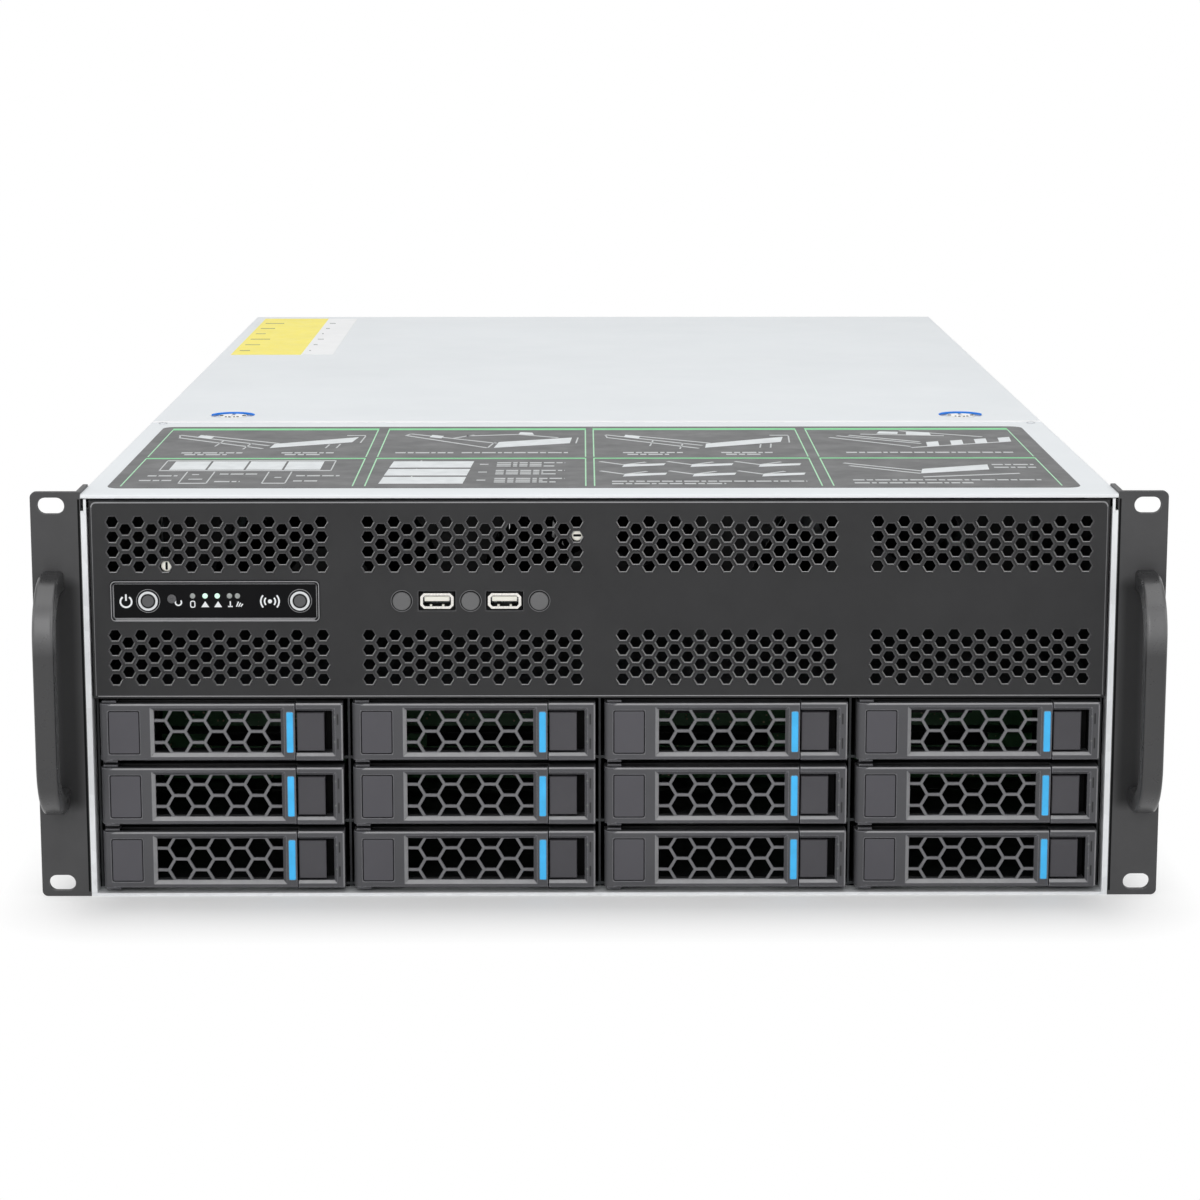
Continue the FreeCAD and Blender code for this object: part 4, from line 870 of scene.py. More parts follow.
    YELLOW = Printed("sticker_yellow", (250, 234, 78), 0.42, specular=0.4, tone=0.02, patch=40.0, fine=900.0)
    WHITE = Printed("sticker_white", (240, 241, 242), 0.42, specular=0.4, tone=0.015, patch=40.0, fine=900.0)
    CATCH = Finish("catch_blue", (34, 132, 238), 0.4, specular=0.3, patch=150.0, relief=8.0, fine=2200.0,
                   edge=0.3, wear_and_sheen=1.1)
    # The blue strips, tongues and catches glow though they are no lamps: painted light.
    BLUE = Lit("touch_blue", (64, 172, 228), 0.35, specular=0.3, tone=0.06, patch=150.0, relief=8.0,
               fine=2200.0, edge=0.3, wear_and_sheen=1.12, glow=0.25)
    # The buttons' rings glow though they are no lamps: painted light.
    RING = Lit("button_ring", (214, 216, 218), 0.3, tone=0.03, patch=300.0, fine=2000.0, edge=0.2, wear_and_sheen=1.05,
               glow=0.12)
    # The print glows: painted light.
    ICON = Lit("panel_print", (226, 228, 230), 0.5, tone=0.04, patch=400.0, relief=2.0, fine=2000.0,
               wear_and_sheen=1.02, glow=0.15)
    LENS_DIM = Lit("lens_dim", (112, 114, 112), 0.3, specular=0.3, tone=0.08, glow=0.02)
    # Unlit lenses glow faintly: painted light.
    LENS_OFF = Lit("lens_clear", (150, 154, 152), tone=0.08, wear_and_sheen=1.2, glow=0.05)
    LENS_ON = Lit("lens_pale_green", (196, 230, 212), glow=0.5)
    # Painted highlight of the control panel's beads and of the thin rings round its buttons.
    RIM = Finish("panel_rim_painted_highlight", (140, 140, 142), 0.3, patch=200.0, relief=3.0, fine=2000.0, edge=0.2, wear_and_sheen=1.3)
    # Painted highlight on bevels and edges.
    SHEEN = Finish("bevel_painted_highlight", (146, 146, 148), 0.32, tone=0.06, patch=120.0, relief=5.0, fine=2400.0,
                   edge=0.2, wear_and_sheen=1.1)
    # Painted highlight on the rims of holes and ports, the crests of mesh bars and the bezel's sides.
    HOLE_RIM = Finish("hole_rim_painted_highlight", (116, 116, 118), 0.38, specular=0.4, tone=0.08, patch=150.0,
                      relief=8.0, fine=2200.0, edge=0.1, wear_and_sheen=1.1)
    GLINT = Finish("rim_glint", (206, 206, 207), 0.35, specular=0.4, tone=0.06, patch=150.0, relief=5.0,
                   fine=2200.0, edge=0.1, wear_and_sheen=1.05)

    def material(self) -> bpy.types.Material:
        """Make the material of this look at its first use.

        Returns:
            The material.
        """
        if self not in MATERIALS:
            MATERIALS[self] = self.value.build()
        return MATERIALS[self]


MATERIALS: dict[Look, bpy.types.Material] = {}

SLOT_LOOKS = {
    "zinc_sheet": Look.ZINC, "cover_paint": Look.COVER, "charcoal_paint": Look.CHARCOAL,
    "panel_gloss": Look.GLOSS, "button_grey": Look.BUTTON, "port_steel": Look.STEEL, "plug_grey": Look.PLUG,
    "carrier_plastic": Look.CARRIER, "lever_plastic": Look.LEVER, "release_plastic": Look.RELEASE,
    "board_green": Look.BOARD, "fan_plastic": Look.FAN, "lock_steel": Look.LOCK, "supply_steel": Look.SUPPLY,
}

NODE_LOOKS = {"rack_ears": Look.EAR, "ear_handles": Look.HANDLE, "base_tray": Look.TRAY,
              "drive_cage": Look.CAGE, "backplane": Look.BACKPLANE}


@dataclass
class CadNodes:
    """The CAD nodes themselves, each painted by the record's slot.

    Attributes:
        nodes: Objects by node name.
        record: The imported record.
    """

    nodes: dict[str, bpy.types.Object]
    record: dict[str, Any]

    def dress(self) -> None:
        """Give every node its finish."""
        slots = {part["node"]: part["material_slot"] for part in self.record["subparts"]}
        for name, item in self.nodes.items():
            look = NODE_LOOKS.get(name) or SLOT_LOOKS[slots[name]]
            item.data.materials.clear()
            item.data.materials.append(look.material())
            LOG.info("node %s painted as %s", name, look.value.name)


@dataclass(frozen=True)
class Panel:
    """One outlined panel of the printed guide, with spots given as shares of its width and depth.

    Attributes:
        left, right, front, back: Its sides.
    """

    left: float
    right: float
    front: float
    back: float

    def path(self, *spots: Point) -> Outline:
        """Points of the panel for spots between (0, 0) at the front left and (1, 1)."""
        return [(self.left + across * (self.right - self.left), self.front + deep * (self.back - self.front))
                for across, deep in spots]


class Drawing(Enum):
    """Line drawings of the guide: paths of lines, outlines of filled shapes, and rows of greeked words."""

    SLIDE = ((((0.06, 0.76), (0.52, 0.38)), ((0.07, 0.66), (0.5, 0.28)), ((0.06, 0.76), (0.07, 0.66)),
              ((0.29, 0.56), (0.27, 0.36)), ((0.43, 0.46), (0.41, 0.26)), ((0.18, 0.74), (0.56, 0.46)),
              ((0.8, 0.42), (0.79, 0.3)), ((0.85, 0.44), (0.84, 0.3)), ((0.94, 0.48), (0.95, 0.72)),
              ((0.86, 0.74), (0.95, 0.74))),
             (((0.53, 0.3), (0.9, 0.5), (0.92, 0.68), (0.54, 0.44)),
              ((0.15, 0.68), (0.22, 0.62), (0.23, 0.7), (0.16, 0.76))),
             ((0.14, 0.42, 0.12), (0.6, 0.84, 0.12), (0.16, 0.36, 0.06), (0.62, 0.78, 0.06)))
    LIFT = ((((0.1, 0.74), (0.52, 0.3)), ((0.12, 0.8), (0.56, 0.46)), ((0.1, 0.74), (0.12, 0.8)),
             ((0.4, 0.72), (0.66, 0.78)), ((0.66, 0.78), (0.86, 0.66)), ((0.34, 0.64), (0.44, 0.76)),
             ((0.95, 0.46), (0.96, 0.66)), ((0.52, 0.3), (0.55, 0.5))),
            (((0.55, 0.3), (0.92, 0.46), (0.93, 0.66), (0.57, 0.5)),
             ((0.22, 0.68), (0.28, 0.64), (0.29, 0.72), (0.23, 0.76)),
             ((0.66, 0.78), (0.74, 0.76), (0.73, 0.84), (0.67, 0.86))),
            ((0.08, 0.36, 0.12), (0.4, 0.92, 0.12)))
    CELLS = ((((0.1, 0.66), (0.46, 0.34)), ((0.14, 0.72), (0.52, 0.44)), ((0.2, 0.74), (0.52, 0.5)),
              ((0.26, 0.78), (0.66, 0.72)), ((0.46, 0.9), (0.84, 0.68)), ((0.46, 0.3), (0.92, 0.5))),
             (*(((0.54 + 0.12 * cell, 0.33 + 0.05 * cell), (0.6 + 0.12 * cell, 0.36 + 0.05 * cell),
                 (0.61 + 0.12 * cell, 0.52 + 0.05 * cell), (0.55 + 0.12 * cell, 0.49 + 0.05 * cell))
                for cell in range(4)),
              ((0.34, 0.8), (0.44, 0.78), (0.45, 0.86), (0.36, 0.88)),
              ((0.48, 0.76), (0.6, 0.74), (0.6, 0.84), (0.49, 0.86))),
             ((0.14, 0.92, 0.12),))
    PLAN = ((((0.24, 0.5), (0.24, 0.1), (0.36, 0.1), (0.36, 0.5)),
             ((0.6, 0.5), (0.6, 0.1), (0.7, 0.1), (0.7, 0.5)),
             ((0.27, 0.24), (0.33, 0.24)), ((0.27, 0.4), (0.3, 0.4)), ((0.64, 0.3), (0.67, 0.3)),
             ((0.11, 0.54), (0.87, 0.54)), ((0.11, 0.9), (0.87, 0.9)), ((0.11, 0.54), (0.11, 0.9)),
             ((0.87, 0.54), (0.87, 0.9))),
            tuple(((0.15 + 0.17 * cell, 0.57), (0.31 + 0.17 * cell, 0.57), (0.31 + 0.17 * cell, 0.87),
                   (0.15 + 0.17 * cell, 0.87)) for cell in range(4)),
            ((0.08, 0.21, 0.34), (0.06, 0.2, 0.18), (0.39, 0.56, 0.4), (0.39, 0.5, 0.14),
             (0.73, 0.92, 0.34), (0.73, 0.84, 0.16)))
    SIX = (tuple(((0.03 + 0.31 * column, 0.86 - 0.34 * row), (0.14 + 0.31 * column, 0.74 - 0.34 * row),
                  (0.24 + 0.31 * column, 0.84 - 0.34 * row)) for column in range(3) for row in range(2)),
           tuple(((0.13 + 0.31 * column, 0.66 - 0.34 * row), (0.32 + 0.31 * column, 0.72 - 0.34 * row),
                  (0.33 + 0.31 * column, 0.79 - 0.34 * row), (0.14 + 0.31 * column, 0.75 - 0.34 * row))
                 for column in range(3) for row in range(2)),
           ((0.08, 0.94, 0.14), (0.08, 0.58, 0.06)))
    STACK = ((((0.19, 0.08), (0.2, 0.34)), ((0.2, 0.38), (0.21, 0.6)), ((0.21, 0.64), (0.22, 0.9)),
              ((0.5, 0.2), (0.54, 0.2)), ((0.5, 0.48), (0.54, 0.48)), ((0.5, 0.76), (0.54, 0.76))),
             tuple(((0.06 + 0.01 * tier, 0.08 + 0.28 * tier), (0.44 + 0.01 * tier, 0.08 + 0.28 * tier),
                    (0.45 + 0.01 * tier, 0.31 + 0.28 * tier), (0.07 + 0.01 * tier, 0.31 + 0.28 * tier))
                   for tier in range(3)),
             tuple((0.58, end, 0.28 * tier + level) for tier in range(3)
                   for end, level in ((0.9, 0.24), (0.8, 0.18), (0.86, 0.12))))
    TEXT = ((((0.1, 0.8), (0.44, 0.5)), ((0.12, 0.7), (0.42, 0.42)), ((0.42, 0.3), (0.86, 0.42))),
            (((0.42, 0.42), (0.74, 0.56), (0.75, 0.74), (0.44, 0.58)),),
            ((0.77, 0.96, 0.72), (0.77, 0.96, 0.62), (0.1, 0.94, 0.18), (0.1, 0.62, 0.08)))


@dataclass
class TopLabel:
    """Printed guide on the front cover: two rows of outlined panels with small line drawings.

    Attributes:
        left, right, front, back: Sides of the film; front and back count from the cover's front edge.
        corner: Radius of its corners.
        thick: Thickness of the film.
        columns: Left and right of each column of panels, in millimetres.
        rows: Front and back of each row of panels, in millimetres.
        lines: Width of the green line behind the near and behind the far panels.
        line: Width of the green lines beside them.
        pen: Width of the drawn lines that run back.
        broad: What drawn lines across have more, as a factor of the pen.
        raised: How far filled shapes stand over the lines.
        words: Lengths of the greeked words, as shares of a panel.
        word: Depth of a greeked word and the gap after it, as shares of a panel.
    """

    left: float = -211.5 * MM
    right: float = 207.0 * MM
    front: float = 16.5 * MM
    back: float = 214.5 * MM
    corner: float = 6.0 * MM
    thick: float = 0.12 * MM
    columns: tuple[Point, ...] = ((-206.2, -106.0), (-101.3, -5.6), (-2.4, 96.2), (100.6, 199.4))
    rows: tuple[Point, ...] = ((21.5, 107.0), (110.5, 208.0))
    lines: tuple[float, float] = mm(3.0, 6.0)
    line: float = 0.6 * MM
    pen: float = 0.6 * MM
    broad: float = 3.0
    raised: float = 0.02 * MM
    words: tuple[float, ...] = (0.05, 0.028, 0.066, 0.02, 0.038, 0.056)
    word: Point = (0.034, 0.01)

    def build(self) -> None:
        """Lay the film, the outlines, the drawings and the bars of greeked text."""
        low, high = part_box("front_cover")
        face = Side.TOP.face((0.0, low.y, high.z))
        film = Shaper("label_film")
        film.plate(face, rounded(self.left, self.right, self.front, self.back, self.corner), 0.0, self.thick)
        film.piece(Look.LABEL, "chassis", "cover_paint")
        frames, sides = Shaper("label_frames"), Shaper("label_side_lines")
        pale, shapes = Shaper("label_drawings"), Shaper("label_shapes")
        kinds = ((Drawing.PLAN, Drawing.STACK, Drawing.SIX, Drawing.TEXT),
                 (Drawing.SLIDE, Drawing.LIFT, Drawing.SLIDE, Drawing.CELLS))
        crown = self.thick + INK
        for (front, back), row, deep in zip(self.rows, kinds, self.lines):
            for (left, right), kind in zip(self.columns, row):
                panel = Panel(left * MM, right * MM, front * MM, back * MM)
                inner = panel.back - deep
                frames.plate(face, rectangle(panel.left, panel.right, inner, panel.back), self.thick, crown)
                for edge in (panel.left, panel.right - self.line):
                    line = rectangle(edge, edge + self.line, panel.front, inner)
                    sides.plate(face, line, self.thick, crown)
                self.draw(face, pale, shapes, panel, kind)
        for shaper, look in ((frames, Look.GREEN), (sides, Look.PALE_GREEN), (pale, Look.PALE),
                             (shapes, Look.DRAWN)):
            shaper.piece(look, "chassis", "cover_paint")

    def draw(self, face: Face, pale: Shaper, white: Shaper, panel: Panel, kind: Drawing) -> None:
        """Fill one panel with a line drawing and bars.

        Args:
            face: The cover's top.
            pale, white: Pieces that take the lines and the filled shapes.
            panel: The panel.
            kind: Its drawing.
        """
        lines, shapes, rows = kind.value
        low, high = self.thick, self.thick + INK
        deep, gap = self.word
        for path in lines:
            spots = panel.path(*path)
            for first, last in zip(spots, spots[1:]):
                across = abs(last[0] - first[0]) / math.dist(first, last)
                pale.ribbon(face, [first, last], self.pen * (1 + self.broad * across), low, high)
        for outline in shapes:
            white.plate(face, panel.path(*outline), low, high + self.raised)
        for start, end, level in rows:
            index = round(level * 100)
            while start < end:
                stop = min(start + self.words[index % len(self.words)], end)
                pale.plate(face, panel.path(*rectangle(start, stop, level, level + deep)), low, high)
                start, index = stop + gap, index + 1


@dataclass
class CoverSticker:
    """Plain two-tone sticker near the rear cover's far left corner.

    Attributes:
        front, back: Its near and far edge, counted from the rear cover's front edge.
        sides: Left edge, change of colour and right edge.
        thick: Thickness of the paper.
        rows: Greeked bars on each half.
        row: Place of the first bar behind the near edge, and distance of the bars.
        bar: Place of a bar from the left edge of its half, and its depth.
        shares: Ends of the bars in turn, as shares of their half.
    """

    front: float = 301.5 * MM
    back: float = 513.5 * MM
    sides: Triple = mm(-213.6, -172.4, -153.8)
    thick: float = 0.15 * MM
    rows: int = 6
    row: Point = mm(20.0, 32.0)
    bar: Point = mm(3.0, 2.4)
    shares: tuple[float, ...] = (0.22, 0.29, 0.36)

    def build(self) -> None:
        """Lay both halves on the cover, with rows of greeked bars."""
        low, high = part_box("rear_cover")
        face = Side.TOP.face((0.0, low.y, high.z))
        bars = Shaper("sticker_bars")
        inset, deep = self.bar
        for name, left, right, look in (("sticker_yellow", self.sides[0], self.sides[1], Look.YELLOW),
                                        ("sticker_white", self.sides[1], self.sides[2], Look.WHITE)):
            shaper = Shaper(name)
            shaper.plate(face, rectangle(left, right, self.front, self.back), 0.0, self.thick)
            shaper.piece(look, "rear_cover", "cover_paint")
            for step in range(self.rows):
                level = self.front + self.row[0] + self.row[1] * step
                end = left + self.shares[step % len(self.shares)] * (right - left)
                outline = rectangle(left + inset, end, level, level + deep)
                bars.plate(face, outline, self.thick, self.thick + INK)
        bars.piece(Look.DARK_INK, "rear_cover", "cover_paint")


@dataclass
class CoverCatches:
    """Blue crescent along the far wall of each dimple of the rear cover, and the dots on the lock's head.

    Attributes:
        radius: Outer radius of the crescent.
        width, tip: Its width in the middle beyond that at its tips, and at the tips.
        sunk, proud: How far it reaches below and above the cover.
        head: Radius of the lock's head.
        dots: Direction in degrees and radius in millimetres of the dots on the head.
        dots_inset: Distance of their middles from the head's rim.
    """

    radius: float = 11.05 * MM
    width: float = 0.9 * MM
    tip: float = 0.4 * MM
    sunk: float = 0.6 * MM
    proud: float = 0.3 * MM
    head: float = 7.0 * MM
    dots: tuple[Point, ...] = ((186, 1.0), (238, 0.5), (258, 0.65), (282, 0.5), (300, 0.6), (354, 1.0))
    dots_inset: float = 1.3 * MM

    def build(self) -> None:
        """Put a crescent into the far half of each dimple and dots along the near rim of its lock."""
        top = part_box("rear_cover")[1].z
        middle = (0.0, 0.0)
        for side in ("left", "right"):
            low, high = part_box(f"cover_lock_{side}")
            spot = ((low.x + high.x) / 2, high.y - self.head)
            face = Side.TOP.face((*spot, top))
            shaper = Shaper(f"lock_crescent_{side}")
            outer = arc(middle, self.radius, 10, 170, 40)
            inner = [polar(middle, self.radius - self.tip - self.width * math.sin(math.radians(turn)), turn)
                     for turn in range(170, 9, -4)]
            shaper.plate(face, outer + inner, -self.sunk, self.proud, 0.1 * MM)
            shaper.piece(Look.CATCH, "rear_cover", "cover_paint", smooth=True)
            crown = Side.TOP.face((*spot, high.z))
            marks = Shaper(f"lock_marks_{side}")
            for turn, size in self.dots:
                place, radius = polar(middle, self.head - self.dots_inset, turn), size * MM
                levels = [(radius, -SEAT), (radius, 0.2 * MM), (radius * 0.7, 0.3 * MM)]
                marks.turned(crown, place, levels, 16)
            marks.piece(Look.BLACK_AND_SHADE, f"cover_lock_{side}", "lock_steel")


@dataclass
class CoverSeam:
    """Folded edge of the front cover along the seam between the covers, in a white lighter than the cover:
    painted highlight.

    Attributes:
        width, height: Width and height of the fold.
        gap: Distance of its ends from the cover's sides.
        bevel: Width of its bevel.
    """

    width: float = 3.2 * MM
    height: float = 0.5 * MM
    gap: float = 0.4 * MM
    bevel: float = 0.2 * MM

    def build(self) -> None:
        """Lay the fold along the rear edge of the front cover."""
        low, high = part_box("front_cover")
        face = Side.TOP.face((0.0, high.y, high.z))
        fold = Shaper("cover_seam_fold")
        edge = rectangle(low.x + self.gap, high.x - self.gap, -self.width, -0.1 * MM)
        fold.plate(face, edge, -0.1 * MM, self.height, self.bevel)
        # The fold's white is a painted highlight.
        fold.piece(Look.WHITE, "chassis", "cover_paint")


@dataclass
class HoleRims:
    """Drawn rims of a field of hexagonal holes.

    Attributes:
        pitch, web: Spacing of the holes and width of the sheet between two.
        columns, rows: Holes across and up, counted where they are most.
        outside, within: How far a rim reaches round and into its hole.
        depth: How far it falls inwards.
        glint: Width of the bright line along some of a hole's lower sides.
        root: How far rim and line reach into the sheet below that.
    """

    pitch: float
    web: float
    columns: int
    rows: int
    outside: float = 0.4 * MM
    within: float = 0.15 * MM
    depth: float = 0.5 * MM
    glint: float = 0.5 * MM
    root: float = 0.3 * MM

    def lay(self, shaper: Shaper, face: Face, middle: Point, frame: Sides = (-1.0, 1.0, -1.0, 1.0),
            glints: Shaper | None = None, span: tuple[int, int] = (240, 360)) -> None:
        """Lay the rims of one field.

        Args:
            shaper: What the rims are added to.
            face: Where they lie.
            middle: Middle of the field.
            frame: Sides at which rims end, inside the frame that hides their ends.
            glints: What the bright lines are added to, if there are any.
            span: Angles between which they run.
        """
        left, right, bottom, top = frame
        step, radius = self.pitch * math.sqrt(3) / 2, (self.pitch - self.web) / math.sqrt(3)
        foot = -self.depth - self.root
        for fewer in (0, 1):
            for column in range(self.columns - fewer):
                for row in range(self.rows - fewer):
                    spot = (middle[0] + (2 * column - self.columns + fewer + 1) * step,
                            middle[1] + (row - (self.rows - fewer - 1) / 2) * self.pitch)
                    outer, inner = ([(min(max(x, left), right), min(max(z, bottom), top))
                                     for x, z in circle(spot, reach, 6)]
                                    for reach in (radius + self.outside, radius - self.within))
                    shaper.ring(face, outer, inner, foot, INK, self.depth)
                    if glints:
                        sides = arc(spot, radius + self.glint / 4, *span, (span[1] - span[0]) // 60)
                        glints.ribbon(face, sides, self.glint, foot, 0.0)


@dataclass
class BezelTrim:
    """Rims of the bezel's holes, its edges and clips, the gaps round its plugs and the tabs beside it.

    Attributes:
        spans: Angles of the painted glints along the holes, for each column of hole fields.
        bands: Distance of the upper fields over the lower.
        holes: Rims of one field.
        port: Width and height of the frame round a port.
        port_edge: Width of that frame, and how far it falls inwards.
        plug: Radius of a blank plug.
        plug_rings: Reaches beyond a plug of the dark gap and of the rim round it, inside and outside.
        clips: Nylon clips behind the bezel: places across and up, and whether the slot is upright.
        clip: Radii and lifts of a clip, from its foot to its crown.
        slot: Half the width and half the length of a clip's slot.
        corner: Radius of the lines in the bezel's upper corners.
        gap: Distance of the cover over the bezel, which the tabs fill.
        hem: Top of the tray's front hems.
        tab: Inner and outer side of a tab and outer side of the cut beside it, from the tray's side.
        seam: Inner and outer side of an ear's seam, from the tray's side.
    """

    spans: tuple[tuple[int, int], ...] = ((240, 360), (240, 360), (180, 360), (180, 300))
    bands: float = 49.0 * MM
    holes: HoleRims = field(default_factory=lambda: HoleRims(6.4 * MM, 1.5 * MM, 9, 4))
    port: Point = mm(16.7, 9.2)
    port_edge: float = 0.5 * MM
    plug: float = 3.9 * MM
    plug_rings: tuple[float, ...] = mm(0.05, 0.4, 0.55, 0.8)
    clips: tuple[tuple[float, float, bool], ...] = ((-184.3 * MM, 144.9 * MM, True),
                                                    (-9.6 * MM, 157.9 * MM, False))
    clip: tuple[Point, ...] = (mm(1.5, -3.2), mm(2.4, -2.7), mm(2.4, -1.5), mm(1.9, -1.15))
    slot: Point = mm(0.5, 1.7)
    corner: float = 2.0 * MM
    gap: float = 0.5 * MM
    hem: float = 168.8 * MM
    tab: Triple = mm(2.4, 1.25, 0.05)
    seam: Point = mm(0.35, 1.25)

    def build(self) -> None:
        """Build rims, tabs, gaps, clips and edges."""
        low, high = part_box("front_bezel")
        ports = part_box("usb_ports")
        level = (ports[0].z + ports[1].z) / 2
        face = Side.FRONT.face((0.0, low.y, level))
        rims = Shaper("bezel_hole_rims")
        self.perforations(rims, face, low.x, high.x)
        self.tabs(high.z + self.gap)
        # Rims round the ports, in a painted highlight.
        for x in (ports[0].x + PORT_HALF, ports[1].x - PORT_HALF):
            outer = chamfered(*self.port, self.port_edge, (x, 0.0))
            rims.ring(face, outer, Shaper.inset(outer, self.port_edge), -0.8 * MM, INK, self.port_edge)
        self.plugs(rims, face)
        self.nylon(face, level)
        self.edges(rims, face, (low.x, high.x, low.z - level, high.z - level))

    def perforations(self, rims: Shaper, face: Face, left: float, right: float) -> None:
        """Rims and glints of all fields of holes, in painted highlights.

        Args:
            rims: Piece that takes the rims.
            face: The bezel's front.
            left, right: Its sides.
        """
        glints = Shaper("bezel_hole_glints")
        pitch = (right - left) / len(self.spans)
        for bay, span in enumerate(self.spans):
            for band in (-0.5, 0.5):
                middle = (left + (bay + 0.5) * pitch, band * self.bands)
                self.holes.lay(rims, face, middle, glints=glints, span=span)
        glints.piece(Look.GLINT, "chassis", "charcoal_paint")

    def tabs(self, top: float) -> None:
        """Bright tab over each front hem, a dark plate of painted shade in the cut beside it, and the ear's
        seam.

        Args:
            top: Level that they reach.
        """
        low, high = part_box("base_tray")
        face = Side.FRONT.face((0.0, low.y, 0.0))
        ear = Side.FRONT.face((0.0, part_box("rack_ears")[0].y, 0.0))
        tabs, cut_shades, seams = Shaper("hem_tabs"), Shaper("hem_cuts"), Shaper("ear_seams")
        for side in (-1, 1):
            inner, middle, outer = (side * (high.x - depth) for depth in self.tab)
            tabs.plate(face, rectangle(*sorted((inner, middle)), self.hem - 1.0 * MM, top), -0.9 * MM, INK)
            # Dark plate deep in the cut: painted shade.
            cut_shades.plate(face, rectangle(*sorted((middle, outer)), self.hem, top), -3.05 * MM, -2.9 * MM)
            near, far = (side * (high.x + reach) for reach in self.seam)
            seams.plate(ear, rectangle(*sorted((near, far)), low.z + 2.0 * MM, top), -SEAT, 0.02 * MM)
        tabs.piece(Look.TRAY, "chassis", "zinc_sheet")
        cut_shades.piece(Look.SHADOW, "chassis", "zinc_sheet")
        seams.piece(Look.SHADOW, "chassis", "charcoal_paint")

    def plugs(self, rims: Shaper, face: Face) -> None:
        """Dark gap round each blank plug, and the rim of its hole in a painted highlight.

        Args:
            rims: Mesh that takes the rims.
            face: Where they lie.
        """
        low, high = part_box("blank_plugs")
        gaps = Shaper("plug_gaps")
        for x in (low.x + self.plug, (low.x + high.x) / 2, high.x - self.plug):
            first, second, third, fourth = (circle((x, 0.0), self.plug + reach) for reach in self.plug_rings)
            gaps.ring(face, second, first, -SEAT, 0.02 * MM)
            rims.ring(face, fourth, third, -SEAT, INK)
        gaps.piece(Look.SHADOW, "chassis", "plug_grey")

    def nylon(self, face: Face, level: float) -> None:
        """Slotted clips behind the holes, each slot a dark plate of painted shade.

        Args:
            face: Where they lie.
            level: Height of the face's origin; the clips' heights count from the ground.
        """
        clips, slots = Shaper("bezel_clips"), Shaper("bezel_clip_slots")
        for x, height, upright in self.clips:
            z = height - level
            clips.turned(face, (x, z), self.clip, 18)
            across, up = self.slot if upright else reversed(self.slot)
            # The slot is a dark plate on the clip: painted shade.
            outline = rounded(x - across, x + across, z - up, z + up, 0.4 * MM, 3)
            slots.plate(face, outline, -1.4 * MM, -1.1 * MM)
        clips.piece(Look.TONGUE, "chassis", "charcoal_paint")
        slots.piece(Look.SHADOW, "chassis", "charcoal_paint")

    def edges(self, rims: Shaper, face: Face, sides: Sides) -> None:
        """Painted highlights along the bezel's edges, brighter above and below.

        Args:
            rims: Piece that takes the lines at the sides and is finished by them.
            face: The bezel's front.
            sides: Left, right, bottom and top of the bezel.
        """
        lines = Shaper("bezel_edge_highlights")
        left, right, bottom, top = sides
        first, last, bottom, crown = left + 2.0 * MM, right - 2.0 * MM, bottom + 1.4 * MM, top - 1.0 * MM
        bend = crown - self.corner
        for x in (first - 0.8 * MM, last + 0.8 * MM):
            rims.plate(face, rectangle(x - 0.15 * MM, x + 0.15 * MM, bottom, bend), -SEAT, INK)
        rims.piece(Look.HOLE_RIM, "chassis", "charcoal_paint")
        lines.plate(face, rectangle(first, last, bottom - 0.4 * MM, bottom), -SEAT, INK)
        path = [*arc((first + 1.2 * MM, bend), self.corner, 180, 90, 6),
                *arc((last - 1.2 * MM, bend), self.corner, 90, 0, 6)]
        lines.ribbon(face, path, 0.55 * MM, -SEAT, INK)
        lines.piece(Look.SHEEN, "chassis", "charcoal_paint")


